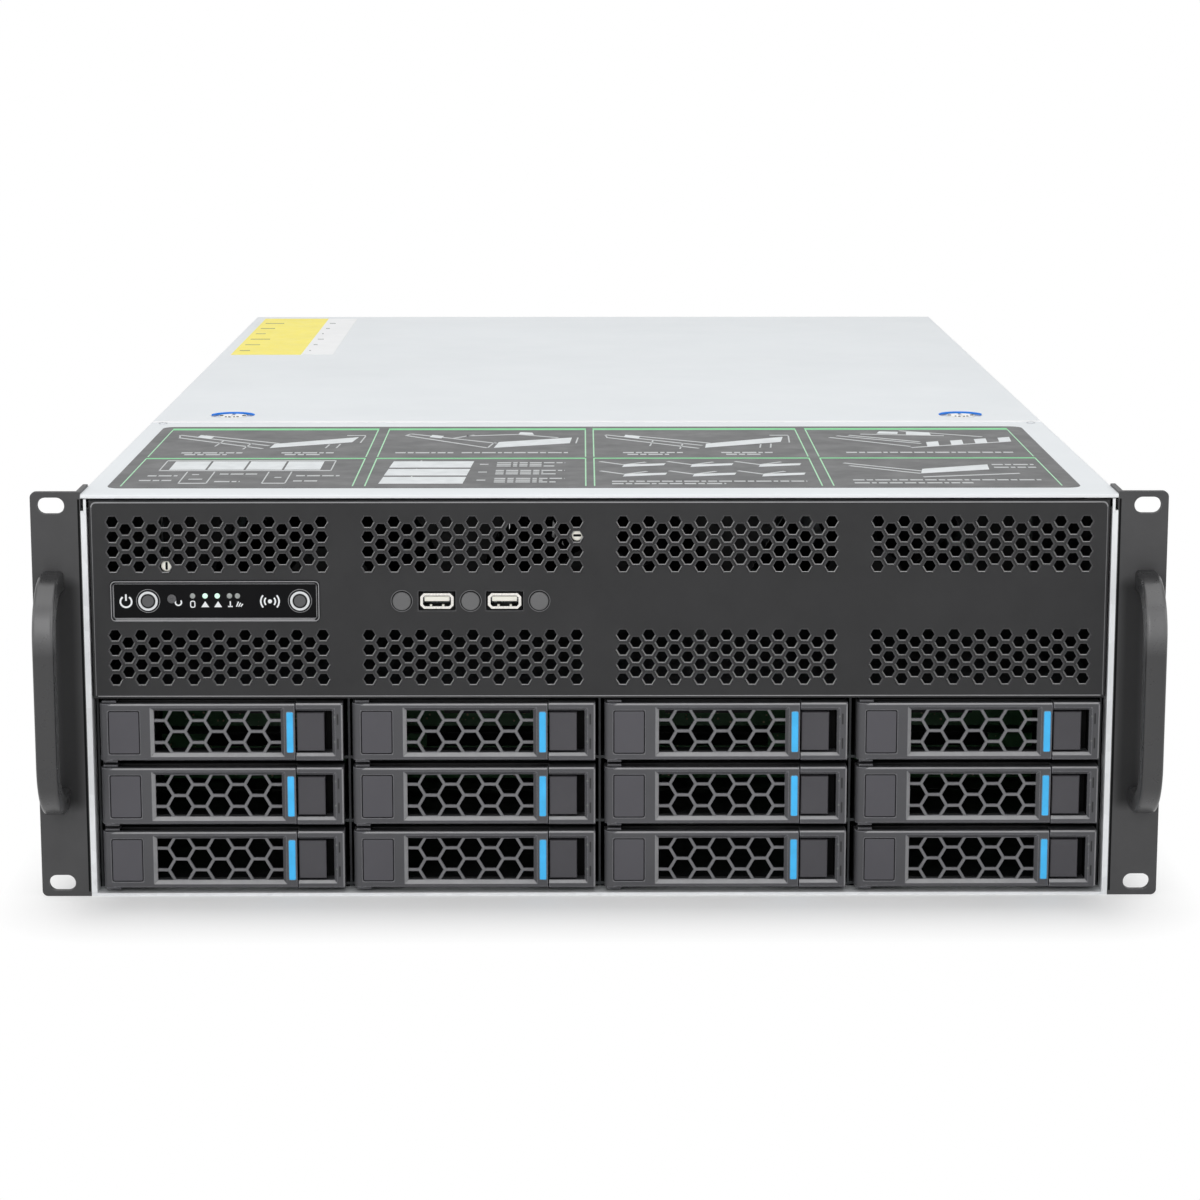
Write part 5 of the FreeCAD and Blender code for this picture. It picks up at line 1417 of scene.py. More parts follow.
@dataclass
class FrontControls:
    """Print, lenses and rings of the control panel, and the fittings of the two ports.

    Attributes:
        recess: Depth of the printed face behind the panel's rim.
        pen: Width of the printed lines.
        standby, reset, beacon: Middles of the standby, reset and locator signs.
        pinhole: Middle of the reset button's collar.
        drum, alarms, tee, slashes: Places across of the signs under the lenses.
        foot, tall: Bottom and height of those signs.
        lens_level: Height of the lenses over the panel's middle.
        contacts: Places across of a port's contacts, in millimetres.
        springs: The same of its springs.
    """

    recess: float = 1.0 * MM
    pen: float = 0.75 * MM
    standby: Point = mm(-201.9, -0.3)
    reset: Point = mm(-179.6, -0.6)
    beacon: Point = mm(-140.6, -0.2)
    pinhole: Point = mm(-182.4, 0.9)
    drum: float = -173.5 * MM
    alarms: Point = mm(-168.2, -162.7)
    tee: float = -157.5 * MM
    slashes: tuple[float, ...] = mm(-154.9, -154.0, -153.1)
    foot: float = -2.7 * MM
    tall: float = 2.6 * MM
    lens_level: float = 2.2 * MM
    contacts: tuple[float, ...] = (-3.5, -1.0, 1.0, 3.5)
    springs: Point = (-2.6, 2.6)

    def build(self) -> None:
        """Build rim, rings, print, lenses and port fittings."""
        low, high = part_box("control_panel")
        face = Side.FRONT.face((0.0, low.y + self.recess, (low.z + high.z) / 2))
        self.rim(low, high)
        self.rings(face)
        self.pictograms(face)
        self.lenses(face)
        self.ports()

    @staticmethod
    def rim(low: Vector, high: Vector) -> None:
        """Bead along the edge of the panel, a second one inside it and a broad sheen below, all painted
        highlights.

        Args:
            low, high: Corners of the panel.
        """
        face = Side.FRONT.face((0.0, low.y, 0.0))
        inset = 0.1 * MM
        edge = rounded(low.x + inset, high.x - inset, low.z + inset, high.z - inset, 1.9 * MM)
        bead = Shaper("panel_bead")
        bead.ring(face, edge, Shaper.inset(edge, 0.4 * MM), -SEAT, 0.12 * MM)
        lip = Shaper.inset(edge, 0.95 * MM)
        bead.ring(face, lip, Shaper.inset(lip, 0.45 * MM), -0.9 * MM, 0.02 * MM, 0.6 * MM)
        bead.piece(Look.RIM, "chassis", "panel_gloss")
        sheen = Shaper("panel_sheen")
        line = rectangle(low.x + 2.0 * MM, high.x - 2.0 * MM, low.z + 0.3 * MM, low.z + 0.95 * MM)
        sheen.plate(face, line, -SEAT, 0.14 * MM, 0.08 * MM)
        sheen.piece(Look.SHEEN, "chassis", "panel_gloss")

    @staticmethod
    def rings(face: Face) -> None:
        """Bright ring round each button that glows with painted light, a thin ring of painted highlight
        outside it, and a dark line on the button.

        Args:
            face: Where they lie.
        """
        halos, lines = Shaper("button_halos"), Shaper("button_lines")
        for name in ("power_button", "locator_button"):
            low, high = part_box(name)
            spot = ((low.x + high.x) / 2, 0.0)
            halos.ring(face, circle(spot, 4.15 * MM), circle(spot, 3.2 * MM), 0.25 * MM, 0.42 * MM)
            lines.ring(face, circle(spot, 5.1 * MM), circle(spot, 4.85 * MM), -SEAT, INK)
            cap = Side.FRONT.face((0.0, low.y, (low.z + high.z) / 2))
            shaper = Shaper(f"{name}_line")
            shaper.ring(cap, circle(spot, 2.95 * MM), circle(spot, 2.5 * MM), -SEAT, 0.02 * MM)
            shaper.piece(Look.SHADOW, name, "button_grey")
        halos.piece(Look.RING, "chassis", "panel_gloss")
        lines.piece(Look.RIM, "chassis", "panel_gloss")

    def pictograms(self, face: Face) -> None:
        """Standby sign, lens signs and locator sign in print, and the reset button's collar.

        Args:
            face: Where they lie.
        """
        ink = Shaper("panel_pictograms")
        low, high = 0.0, 0.04 * MM

        def draw(path: Sequence[Point], share: float = 1.0) -> None:
            """Draw a line with a share of the pen's width."""
            ink.ribbon(face, path, self.pen * share, low, high)

        x, z = self.standby
        draw(arc(self.standby, 2.4 * MM, 125, 415, 26))
        draw([(x, z + 0.4 * MM), (x, z + 3.2 * MM)])
        draw(arc(self.reset, 1.3 * MM, 150, 400, 18), 0.8)
        base, top, bar = self.foot, self.foot + self.tall, self.foot + 0.3 * MM
        for x in self.alarms:
            ink.plate(face, [(x - 1.7 * MM, base), (x + 1.7 * MM, base), (x, top)], low, high)
        drum = rounded(self.drum - 0.9 * MM, self.drum + 0.9 * MM, base, top, 0.6 * MM)
        draw([*drum, drum[0]], 0.6)
        draw([(self.tee - 1.0 * MM, bar), (self.tee + 1.0 * MM, bar)], 0.7)
        draw([(self.tee, bar), (self.tee, top)], 0.7)
        for step, x in enumerate(self.slashes):
            draw([(x, base + 0.2 * MM), (x + 0.9 * MM, base + (2.4 - 0.5 * step) * MM)], 0.7)
        ink.turned(face, self.beacon, [(0.9 * MM, low), (0.9 * MM, high)], 20)
        for reach in (2.3, 3.9):
            for start in (-42, 138):
                draw(arc(self.beacon, reach * MM, start, start + 84, 12), 0.9)
        # The print glows a little: painted light.
        ink.piece(Look.ICON, "chassis", "panel_gloss")
        hole = Shaper("reset_pinhole")
        levels = [mm(1.9, 0.0), mm(1.9, 0.2), mm(1.5, 0.34), mm(0.8, 0.34), mm(0.6, 0.1)]
        hole.turned(face, self.pinhole, levels, 24)
        hole.piece(Look.BUTTON, "chassis", "panel_gloss")

    def lenses(self, face: Face) -> None:
        """Five small lenses, two of them lit; the other three glow faintly with painted light.

        Args:
            face: Where they lie.
        """
        levels = [mm(1.15, 0.0), mm(1.15, 0.15), mm(0.85, 0.32), mm(0.4, 0.4)]
        row = ((-173.5, Look.LENS_OFF), (-168.2, Look.LENS_ON), (-163.0, Look.LENS_ON),
               (-157.8, Look.LENS_OFF), (-154.4, Look.LENS_OFF))
        for number, (x, look) in enumerate(row, 1):
            shaper = Shaper(f"status_lens_{number}")
            shaper.turned(face, (x * MM, self.lens_level), levels, 20)
            shaper.piece(look, "chassis", "panel_gloss", smooth=True)

    def ports(self) -> None:
        """Bright shell, pale tongue with four contacts and two springs in each front port, and dark walls of
        painted shade inside it.
        """
        low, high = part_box("usb_ports")
        level = (low.z + high.z) / 2
        tongues, contacts, wells, shells = (Shaper(f"port_{name}") for name in
                                            ("tongues", "contacts", "wells", "shells"))
        flange, hollow = chamfered(*mm(14.2, 6.7, 1.5)), chamfered(*mm(11.9, 4.7, 0.8))
        seam, mouth = chamfered(*mm(14.7, 7.2, 0.1)), rectangle(*mm(-6.73, 6.73, -2.98, 2.98))
        tongue = rectangle(*mm(-5.3, 5.3, -0.2, 1.95))
        for x in (low.x + PORT_HALF, high.x - PORT_HALF):
            face = Side.FRONT.face((x, low.y, level))
            shells.ring(face, flange, hollow, -0.4 * MM, 0.25 * MM)
            wells.ring(face, seam, Shaper.inset(flange, 0.1 * MM), -0.3 * MM, 0.08 * MM)
            tongues.plate(face, tongue, -12.0 * MM, -0.5 * MM, 0.2 * MM)
            for place in self.springs:
                spring = rectangle((place - 0.5) * MM, (place + 0.5) * MM, -2.35 * MM, -1.7 * MM)
                tongues.plate(face, spring, -2.0 * MM, -0.4 * MM, 0.1 * MM)
            wells.ring(face, mouth, Shaper.inset(mouth, 0.2 * MM), -11.8 * MM, -0.5 * MM)
            under = Face(face.at(mm(0.0, -0.2)), Vector((1, 0, 0)), Vector((0, -1, 0)))
            for place in self.contacts:
                strip = rectangle((place - 0.5) * MM, (place + 0.5) * MM, -9.0 * MM, -2.2 * MM)
                contacts.plate(under, strip, 0.0, 0.15 * MM)
        for shaper, look in ((tongues, Look.TONGUE), (wells, Look.SHADOW), (shells, Look.SHELL),
                             (contacts, Look.CONTACT)):
            shaper.piece(look, "chassis", "port_steel")


@dataclass
class CarrierTrim:
    """Trim of one drive carrier; places count from the carrier's middle and bottom.

    Attributes:
        row, column: Place of the carrier, from the top left.
        tab: How far the carrier's hinge tabs stand under its front.
        strip: Sides of the touch strip.
        pad: Sides of the label field.
        window: Sides of the mesh window where its bevel ends.
        window_bevel: Width of that bevel.
        mesh: Painted shade on the flanks and painted highlights on the crests of the bars in the window.
        mesh_depth: How far the mesh lies behind the front.
        recess: Sides of the release's recess.
        recess_bevel, recess_depth: Width of its bevel and its depth.
        lever, block: Left, right and top of the lever and of the block beside it.
        edge: Width of the bevel along their tops.
        light_x: Middle of the activity windows.
        light_levels: Middles of the two windows.
    """

    row: int
    column: int
    tab: float = 0.9 * MM
    strip: Sides = mm(28.1, 31.1, 3.6, 21.5)
    pad: Sides = mm(-48.4, -34.8, 2.9, 22.0)
    window: Sides = mm(-28.8, 25.6, 3.3, 21.9)
    window_bevel: float = 1.5 * MM
    mesh: tuple[HoleRims, HoleRims] = field(default_factory=lambda: (
        HoleRims(9.7 * MM, 1.3 * MM, 4, 3, 0.25 * MM, 0.05 * MM),
        HoleRims(9.7 * MM, 1.3 * MM, 4, 3, 0.75 * MM, -0.25 * MM, 0.0)))
    mesh_depth: float = 1.7 * MM
    recess: Sides = mm(32.2, 47.7, 3.3, 21.9)
    recess_bevel: float = 1.2 * MM
    recess_depth: float = 9.0 * MM
    lever: Triple = mm(-48.4, 31.6, 25.0)
    block: Triple = mm(32.3, 52.2, 25.2)
    edge: float = 0.6 * MM
    light_x: float = 50.1 * MM
    light_levels: tuple[float, float] = mm(18.2, 7.4)

    @property
    def tag(self) -> str:
        """Row and column as used in node names."""
        return f"r{self.row}c{self.column}"

    def build(self) -> None:
        """Build the trim on the lever, on the carrier and on the release."""
        low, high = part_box(f"drive_tray_{self.tag}")
        face = Side.FRONT.face(((low.x + high.x) / 2, low.y, low.z + self.tab))
        self.dress_lever(face)
        self.dress_carrier(face)
        self.shade_recess(face)

    @staticmethod
    def rise(sheen: Shaper, face: Face, level: float, outline: Outline) -> None:
        """Lay a painted highlight on a bevel that rises backwards from a level of the front."""
        bevel = Face(face.at((0.0, level)), face.across, Vector((0.0, 1.0, 1.0)).normalized())
        sheen.plate(bevel, outline, -0.02 * MM, INK)

    @staticmethod
    def turn(sheen: Shaper, face: Face, across: float, outline: Outline) -> None:
        """Lay a painted highlight on a bevel that turns backwards to the right from a place of the front."""
        bevel = Face(face.at((across, 0.0)), Vector((1.0, 1.0, 0.0)).normalized(), face.up)
        sheen.plate(bevel, outline, -0.02 * MM, INK)

    @staticmethod
    def behind(face: Face, depth: float) -> Face:
        """Face at a depth behind the front."""
        return Face(face.at((0.0, 0.0), -depth), face.across, face.up)

    def dress_lever(self, face: Face) -> None:
        """Touch strip glowing with painted light, label field with a rim of painted highlight, painted
        highlights on the bevels, and the mesh bars' painted shade and highlights.

        Args:
            face: The carrier's front.
        """
        rider = f"lever_{self.tag}"
        strip = Shaper(f"touch_strip_{self.tag}")
        strip.plate(face, rounded(*self.strip, 0.5 * MM, 3), -0.6 * MM, 0.42 * MM, 0.3 * MM)
        strip.piece(Look.BLUE, rider, "lever_plastic")
        pad, rim, gap = (Shaper(f"label_{name}_{self.tag}") for name in ("pad", "rim", "gap"))
        inner = rounded(*self.pad, 1.0 * MM, 4)
        rim.ring(face, Shaper.inset(inner, -0.35 * MM), inner, -0.3 * MM, INK, 0.25 * MM)
        rim.piece(Look.HOLE_RIM, rider, "lever_plastic")
        gap.ring(face, inner, Shaper.inset(inner, 0.5 * MM), -0.42 * MM, -0.36 * MM)
        gap.piece(Look.SHADOW, rider, "lever_plastic")
        pad.plate(face, Shaper.inset(inner, 0.4 * MM), -0.42 * MM, -SEAT, 0.15 * MM)
        pad.piece(Look.PAD, rider, "lever_plastic")
        sheen = Shaper(f"lever_sheen_{self.tag}")
        first, last, low, high = self.window
        wide, deep = self.window_bevel, self.window_bevel * SLOPE
        sill = [(first - wide, 0.0), (last + wide, 0.0), (last, deep), (first, deep)]
        self.rise(sheen, face, low - wide, sill)
        jamb = [(0.0, low - wide), (deep, low), (deep, high), (0.0, high + wide)]
        self.turn(sheen, face, first - wide, jamb)
        start, end, crown = self.lever
        self.rise(sheen, face, crown - self.edge, rectangle(start, end, 0.0, self.edge * SLOPE))
        sheen.piece(Look.SHEEN, rider, "lever_plastic")
        self.line_mesh(self.behind(face, self.mesh_depth))

    def line_mesh(self, face: Face) -> None:
        """Painted shade on the flanks and painted highlights on the crests of the mesh bars.

        Args:
            face: Plane of the mesh.
        """
        left, right, bottom, top = self.window
        hidden = 0.6 * MM
        frame = (left - hidden, right + hidden, bottom - hidden, top + hidden)
        for name, rims, look in zip(("flanks", "crests"), self.mesh, (Look.BLACK_AND_SHADE, Look.HOLE_RIM)):
            bars = Shaper(f"mesh_{name}_{self.tag}")
            rims.lay(bars, face, ((left + right) / 2, (bottom + top) / 2), frame)
            bars.piece(look, f"lever_{self.tag}", "lever_plastic")

    def dress_carrier(self, face: Face) -> None:
        """Painted highlights on the bevels of the block beside the lever, its windows and their marks.

        Args:
            face: The carrier's front.
        """
        rider = f"tray_{self.tag}"
        sheen = Shaper(f"carrier_sheen_{self.tag}")
        edge, slant = self.edge, self.edge * SLOPE
        start, end, crown = self.block
        self.rise(sheen, face, crown - edge, rectangle(start, end - edge, 0.0, slant))
        self.turn(sheen, face, end - edge, rectangle(0.0, slant, edge, crown - edge))
        left, right, low, _ = self.recess
        wide, deep = self.recess_bevel, self.recess_bevel * SLOPE
        self.rise(sheen, face, low - wide, [(left, 0.0), (right + wide, 0.0), (right, deep), (left, deep)])
        sheen.piece(Look.SHEEN, rider, "carrier_plastic")
        marks, lenses = Shaper(f"carrier_marks_{self.tag}"), Shaper(f"carrier_lenses_{self.tag}")
        x, dome = self.light_x, [(0.42 * MM, -SEAT), mm(0.42, 0.06), mm(0.25, 0.12)]
        for level in self.light_levels:
            slit = rounded(x - 0.35 * MM, x + 0.35 * MM, level - 2.4 * MM, level + 2.4 * MM, 0.3 * MM, 3)
            marks.plate(face, slit, -SEAT, SEAT)
            lenses.turned(face, (x - 1.25 * MM, level + 1.0 * MM), dome, 14)
        marks.piece(Look.BLACK_AND_SHADE, rider, "carrier_plastic")
        lenses.piece(Look.LENS_DIM, rider, "carrier_plastic", smooth=True)

    def shade_recess(self, face: Face) -> None:
        """Dark plates of painted shade in the release's recess and on the release's side.

        Args:
            face: The carrier's front.
        """
        inset, depth = 0.1 * MM, self.recess_depth
        left, right, low, high = self.recess
        low, high = low + inset, high - inset
        shade_plates = Shaper(f"recess_lining_{self.tag}")
        floor = rectangle(left + inset, right - inset, low, high)
        shade_plates.plate(self.behind(face, depth), floor, -0.02 * MM, 0.1 * MM)
        wall = rectangle(inset - depth, -self.recess_bevel, low, high)
        shade_plates.plate(Side.LEFT.face(face.at((right, 0.0))), wall, -0.02 * MM, 0.1 * MM)
        shade_plates.piece(Look.SHADOW, f"tray_{self.tag}", "carrier_plastic")
        near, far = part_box(f"tray_release_{self.tag}")
        side = Side.RIGHT.face((far.x, near.y, 0.0))
        side_shade = Shaper(f"release_cheek_{self.tag}")
        outline = rectangle(0.5 * MM, 5.2 * MM, near.z + 0.7 * MM, far.z - 0.7 * MM)
        side_shade.plate(side, outline, -0.02 * MM, 0.08 * MM)
        side_shade.piece(Look.SHADOW, f"release_{self.tag}", "release_plastic")


@dataclass
class RearPorts:
    """Steel shield over the rear ports with their shells, tongues, contacts and pins.

    Attributes:
        sides: Sides of the shield.
        first, low: Left and bottom of the first port.
        pitch: Distance of the ports.
        jack, socket: Width and height of a network jack and of a narrow socket.
        stack: Distance of the sockets over each other.
        serial: Width, height, bottom and taper of the serial port.
        pins: Distance of its pins.
        sheet: Thickness of the shield.
    """

    sides: Sides = mm(-55.5, 102.7, 7.3, 51.1)
    first: float = -48.375 * MM
    low: float = 12.2 * MM
    pitch: float = 18.0 * MM
    jack: Point = mm(14.0, 12.0)
    socket: Point = mm(13.5, 6.0)
    stack: float = 10.0 * MM
    serial: tuple[float, float, float, float] = mm(31.0, 9.0, 30.2, 2.0)
    pins: float = 2.77 * MM
    sheet: float = 0.4 * MM

    def build(self) -> None:
        """Build the shield and fit each kind of port."""
        face = Side.REAR.face((0.0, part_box("system_board")[1].y, 0.0))
        jacks = [(self.first + self.pitch * index, self.low, *self.jack) for index in range(4)]
        sockets = [(self.first + self.pitch * (4 + column), self.low + self.stack * row, *self.socket)
                   for column in range(3) for row in range(3)]
        wide, high, level, _ = self.serial
        holes = [(-x - width, -x, z, z + height) for x, z, width, height in
                 (*jacks, *sockets, (self.first, level, wide, high))]
        shield = Shaper("rear_shield")
        left, right, bottom, top = self.sides
        shield.pierced(face, (-right, -left, bottom, top), holes, 0.0, self.sheet)
        shield.piece(Look.SHIELD, "chassis", "zinc_sheet")
        shells, tongues, contacts, wells = (Shaper(f"rear_port_{name}") for name in
                                            ("shells", "tongues", "contacts", "wells"))
        for left, right, bottom, top in holes[:-1]:
            mouth = rectangle(left, right, bottom, top)
            shells.ring(face, Shaper.inset(mouth, -0.5 * MM), mouth, 0.0, self.sheet + 0.25 * MM)
            # Dark walls inside each port: painted shade.
            wells.ring(face, mouth, Shaper.inset(mouth, 0.15 * MM), -12.0 * MM, 0.1 * MM)
            if top - bottom > self.socket[1] + 1.0 * MM:
                for index in range(8):
                    x = left + (2.2 + 1.3 * index) * MM
                    strip = rectangle(x, x + 0.6 * MM, top - 2.2 * MM, top - 0.2 * MM)
                    contacts.plate(face, strip, -9.0 * MM, -3.0 * MM)
            else:
                tongue = rectangle(left + 1.2 * MM, right - 1.2 * MM, bottom + 2.8 * MM, top - 1.2 * MM)
                tongues.plate(face, tongue, -12.0 * MM, -1.0 * MM, 0.2 * MM)
        self.fit_serial(face, shells, wells, contacts)
        # The blue tongues glow a little: painted light.
        for shaper, look in ((shells, Look.STEEL), (tongues, Look.BLUE), (wells, Look.BLACK_AND_SHADE),
                             (contacts, Look.CONTACT)):
            shaper.piece(look, "chassis", "port_steel")

    def fit_serial(self, face: Face, shells: Shaper, wells: Shaper, contacts: Shaper) -> None:
        """Tapered collar, nine pins and two nuts of the serial port.

        Args:
            face: The shield's back.
            shells, wells, contacts: Pieces that take collar and nuts, the dark floor of painted shade, and
                the pins.
        """
        wide, high, level, taper = self.serial
        middle = -self.first - wide / 2
        left, right, top = middle - wide / 2, middle + wide / 2, level + high
        collar = [(left + taper, level), (right - taper, level), (right, top), (left, top)]
        plate = rectangle(left - 6.5 * MM, right + 6.5 * MM, level - 1.4 * MM, top + 1.4 * MM)
        shells.ring(face, plate, collar, self.sheet, self.sheet + 0.4 * MM)
        tube = Shaper.inset(collar, 0.6 * MM)
        shells.ring(face, tube, Shaper.inset(tube, 0.5 * MM), -5.5 * MM, self.sheet + 0.9 * MM)
        wells.plate(face, Shaper.inset(tube, 0.5 * MM), -6.0 * MM, -4.5 * MM)
        pin = [mm(0.5, -4.6), mm(0.5, -0.6), mm(0.25, -0.2)]
        for count, height in ((5, 0.66), (4, 0.34)):
            for index in range(count):
                spot = (middle + (index - (count - 1) / 2) * self.pins, level + high * height)
                contacts.turned(face, spot, pin, 12)
        nut = [(2.6 * MM, self.sheet), mm(2.6, 0.75), mm(2.2, 0.9), mm(1.2, 0.9), mm(1.2, 0.5)]
        for x in (left - 3.2 * MM, right + 3.2 * MM):
            shells.turned(face, (x, level + high / 2), nut, 6)


@dataclass
class SupplyTrim:
    """Black inlet collar, lamp and coloured catch of one power supply.

    Attributes:
        place: Which of the two supplies.
        grip: How far its grip stands behind its rear face.
        inlet: Middle, width, height and bevel of the inlet.
        blades: Places of its blades from its middle, in millimetres.
        catch: Width, height and reach of the catch.
        lamp: Place of the lamp from the middle of the supply.
    """

    place: str
    grip: float = 22.0 * MM
    inlet: tuple[float, float, float, float] = mm(-19.0, 24.2, 16.6, 4.0)
    blades: tuple[float, ...] = (-7.0, 0.0, 7.0)
    catch: Triple = mm(3.0, 14.0, 12.0)
    lamp: Point = mm(-1.0, 13.0)

    def build(self) -> None:
        """Fit collar, blades, lamp and catch."""
        rider = f"power_supply_{self.place}"
        low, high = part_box(rider)
        middle, level, rear = (low.x + high.x) / 2, (low.z + high.z) / 2, high.y - self.grip
        face = Side.REAR.face((middle, rear, level))
        shift, wide, tall, cut = self.inlet
        x = -shift
        left, right, top = x - wide / 2, x + wide / 2, tall / 2
        mouth = [(left, -top), (right, -top), (right, top - cut), (right - cut, top), (left + cut, top),
                 (left, top - cut)]
        collar = Shaper(f"inlet_collar_{self.place}")
        outer, inner = (Shaper.inset(mouth, by * MM) for by in (-1.8, 0.1))
        collar.ring(face, outer, inner, -0.1 * MM, 0.9 * MM, 0.3 * MM)
        outer, inner = (Shaper.inset(mouth, by * MM) for by in (-0.05, 0.25))
        collar.ring(face, outer, inner, -15.8 * MM, 0.3 * MM)
        collar.piece(Look.BLACK_AND_SHADE, rider, "supply_steel")
        blades = Shaper(f"inlet_blades_{self.place}")
        for place in self.blades:
            blade = rectangle(x + (place - 1.15) * MM, x + (place + 1.15) * MM, -2.15 * MM, 2.15 * MM)
            blades.plate(face, blade, -15.0 * MM, -3.6 * MM, 0.4 * MM)
        blades.piece(Look.STEEL, rider, "supply_steel")
        lens = Shaper(f"supply_lamp_{self.place}")
        spot = (-self.lamp[0], self.lamp[1])
        dome = [mm(1.6, -0.1), mm(1.6, 0.2), mm(1.2, 0.5), mm(0.5, 0.65)]
        lens.turned(face, spot, dome, 20)
        lens.piece(Look.LENS_ON, rider, "supply_steel", smooth=True)
        wide, tall, reach = self.catch
        cap = Shaper(f"supply_catch_{self.place}")
        back = Side.REAR.face((high.x, rear + reach, level))
        over = 0.15 * MM
        outline = rounded(-over, wide + over, -tall / 2 - over, tall / 2 + over, 0.8 * MM, 3)
        cap.plate(back, outline, -6.0 * MM, 0.3 * MM, 0.25 * MM)
        # The blue catch glows a little: painted light.
        cap.piece(Look.BLUE, rider, "supply_steel")


@dataclass
class Fasteners:
    """Screws and rivets of ears, covers, rear panel and side walls; places are in millimetres.

    Attributes:
        head: Radius of a small screw head.
        ear_side: Outer side of the ear flanges, from the middle.
        ear_spots: Depth and height of the screws in a flange.
        cover_spots: Place across and depth of the front cover's screws.
        cards: Place of the first card cover's screw, distance of the next, and height.
        card_count: Number of card covers.
        panel_spots: Place across and height of the rear panel's screws.
        vent: Middle of the rear vent.
        rivet_depths, rivet_levels: Places of the rivets in the side walls.
    """

    head: float = 2.6 * MM
    ear_side: float = 222.0
    ear_spots: tuple[Point, ...] = ((12.0, 40.0), (28.0, 62.0), (28.0, 115.0), (12.0, 140.0))
    cover_spots: tuple[Point, ...] = ((-214.0, 228.0), (214.0, 228.0))
    cards: Triple = (-194.0, 20.32, 122.0)
    card_count: int = 7
    panel_spots: tuple[Point, ...] = ((-213.0, 98.0), (-213.0, 166.0), (213.0, 98.0), (213.0, 166.0))
    vent: Point = (28.0, 112.0)
    rivet_depths: tuple[float, ...] = (60.0, 120.0, 180.0, 252.0, 272.0, 420.0, 600.0, 735.0)
    rivet_levels: tuple[float, ...] = (14.0, 78.0, 158.0)

    def build(self) -> None:
        """Drive all screws and rivets."""
        self.ears()
        self.covers()
        self.rear()
        self.walls()

    def walls(self) -> None:
        """Flat rivets that hold cage, fan wall, supply cage and rear panel to the side walls."""
        low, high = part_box("base_tray")
        rivets = Shaper("side_rivets")
        head = [mm(2.4, -0.1), mm(2.4, 0.25), mm(1.8, 0.6), mm(0.9, 0.7)]
        for side, x, turn in ((Side.LEFT, low.x, -1), (Side.RIGHT, high.x, 1)):
            face = side.face((x, low.y, 0.0))
            for depth in self.rivet_depths:
                for level in self.rivet_levels:
                    rivets.turned(face, (turn * depth * MM, level * MM), head, 20)
        rivets.piece(Look.BRIGHT_SCREW, "chassis", "zinc_sheet", smooth=True)

    def ears(self) -> None:
        """Screws through the ear flanges and from behind into the handles."""
        low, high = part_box("rack_ears")
        screws = Shaper("ear_screws")
        for side, turn in ((Side.LEFT, -1), (Side.RIGHT, 1)):
            face = side.face((turn * self.ear_side * MM, low.y, 0.0))
            for depth, level in self.ear_spots:
                screws.screw(face, (turn * depth * MM, level * MM), self.head, 0.7 * MM)
        back = Side.REAR.face((0.0, low.y + 2.5 * MM, 0.0))
        foot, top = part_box("ear_handles")
        for x in (low.x + 8.75 * MM, high.x - 8.75 * MM):
            for level in (foot.z + 4.5 * MM, top.z - 4.5 * MM):
                screws.screw(back, (-x, level), 3.2 * MM, 1.4 * MM)
        screws.piece(Look.SCREW, "chassis", "charcoal_paint")

    def covers(self) -> None:
        """Flat screws along the sides of the front cover's rear edge."""
        low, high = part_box("front_cover")
        face = Side.TOP.face((0.0, low.y, high.z))
        screws = Shaper("cover_screws")
        for x, depth in self.cover_spots:
            screws.screw(face, (x * MM, depth * MM), 2.2 * MM, 0.5 * MM)
        screws.piece(Look.BRIGHT_SCREW, "chassis", "cover_paint")

    def rear(self) -> None:
        """Screws of the card covers and round the rear panel, and the rims of the rear vent."""
        face = Side.REAR.face((0.0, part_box("rear_panel")[1].y, 0.0))
        screws = Shaper("rear_screws")
        first, pitch, level = self.cards
        for index in range(self.card_count):
            screws.screw(face, (-(first + pitch * index) * MM, level * MM), self.head, 1.2 * MM)
        for x, height in self.panel_spots:
            screws.screw(face, (-x * MM, height * MM), self.head, 1.0 * MM)
        screws.piece(Look.BRIGHT_SCREW, "chassis", "zinc_sheet")
        rims = Shaper("rear_vent_rims")
        HoleRims(11.0 * MM, 2.4 * MM, 7, 6).lay(rims, face, (-self.vent[0] * MM, self.vent[1] * MM))
        rims.piece(Look.ZINC, "chassis", "zinc_sheet")


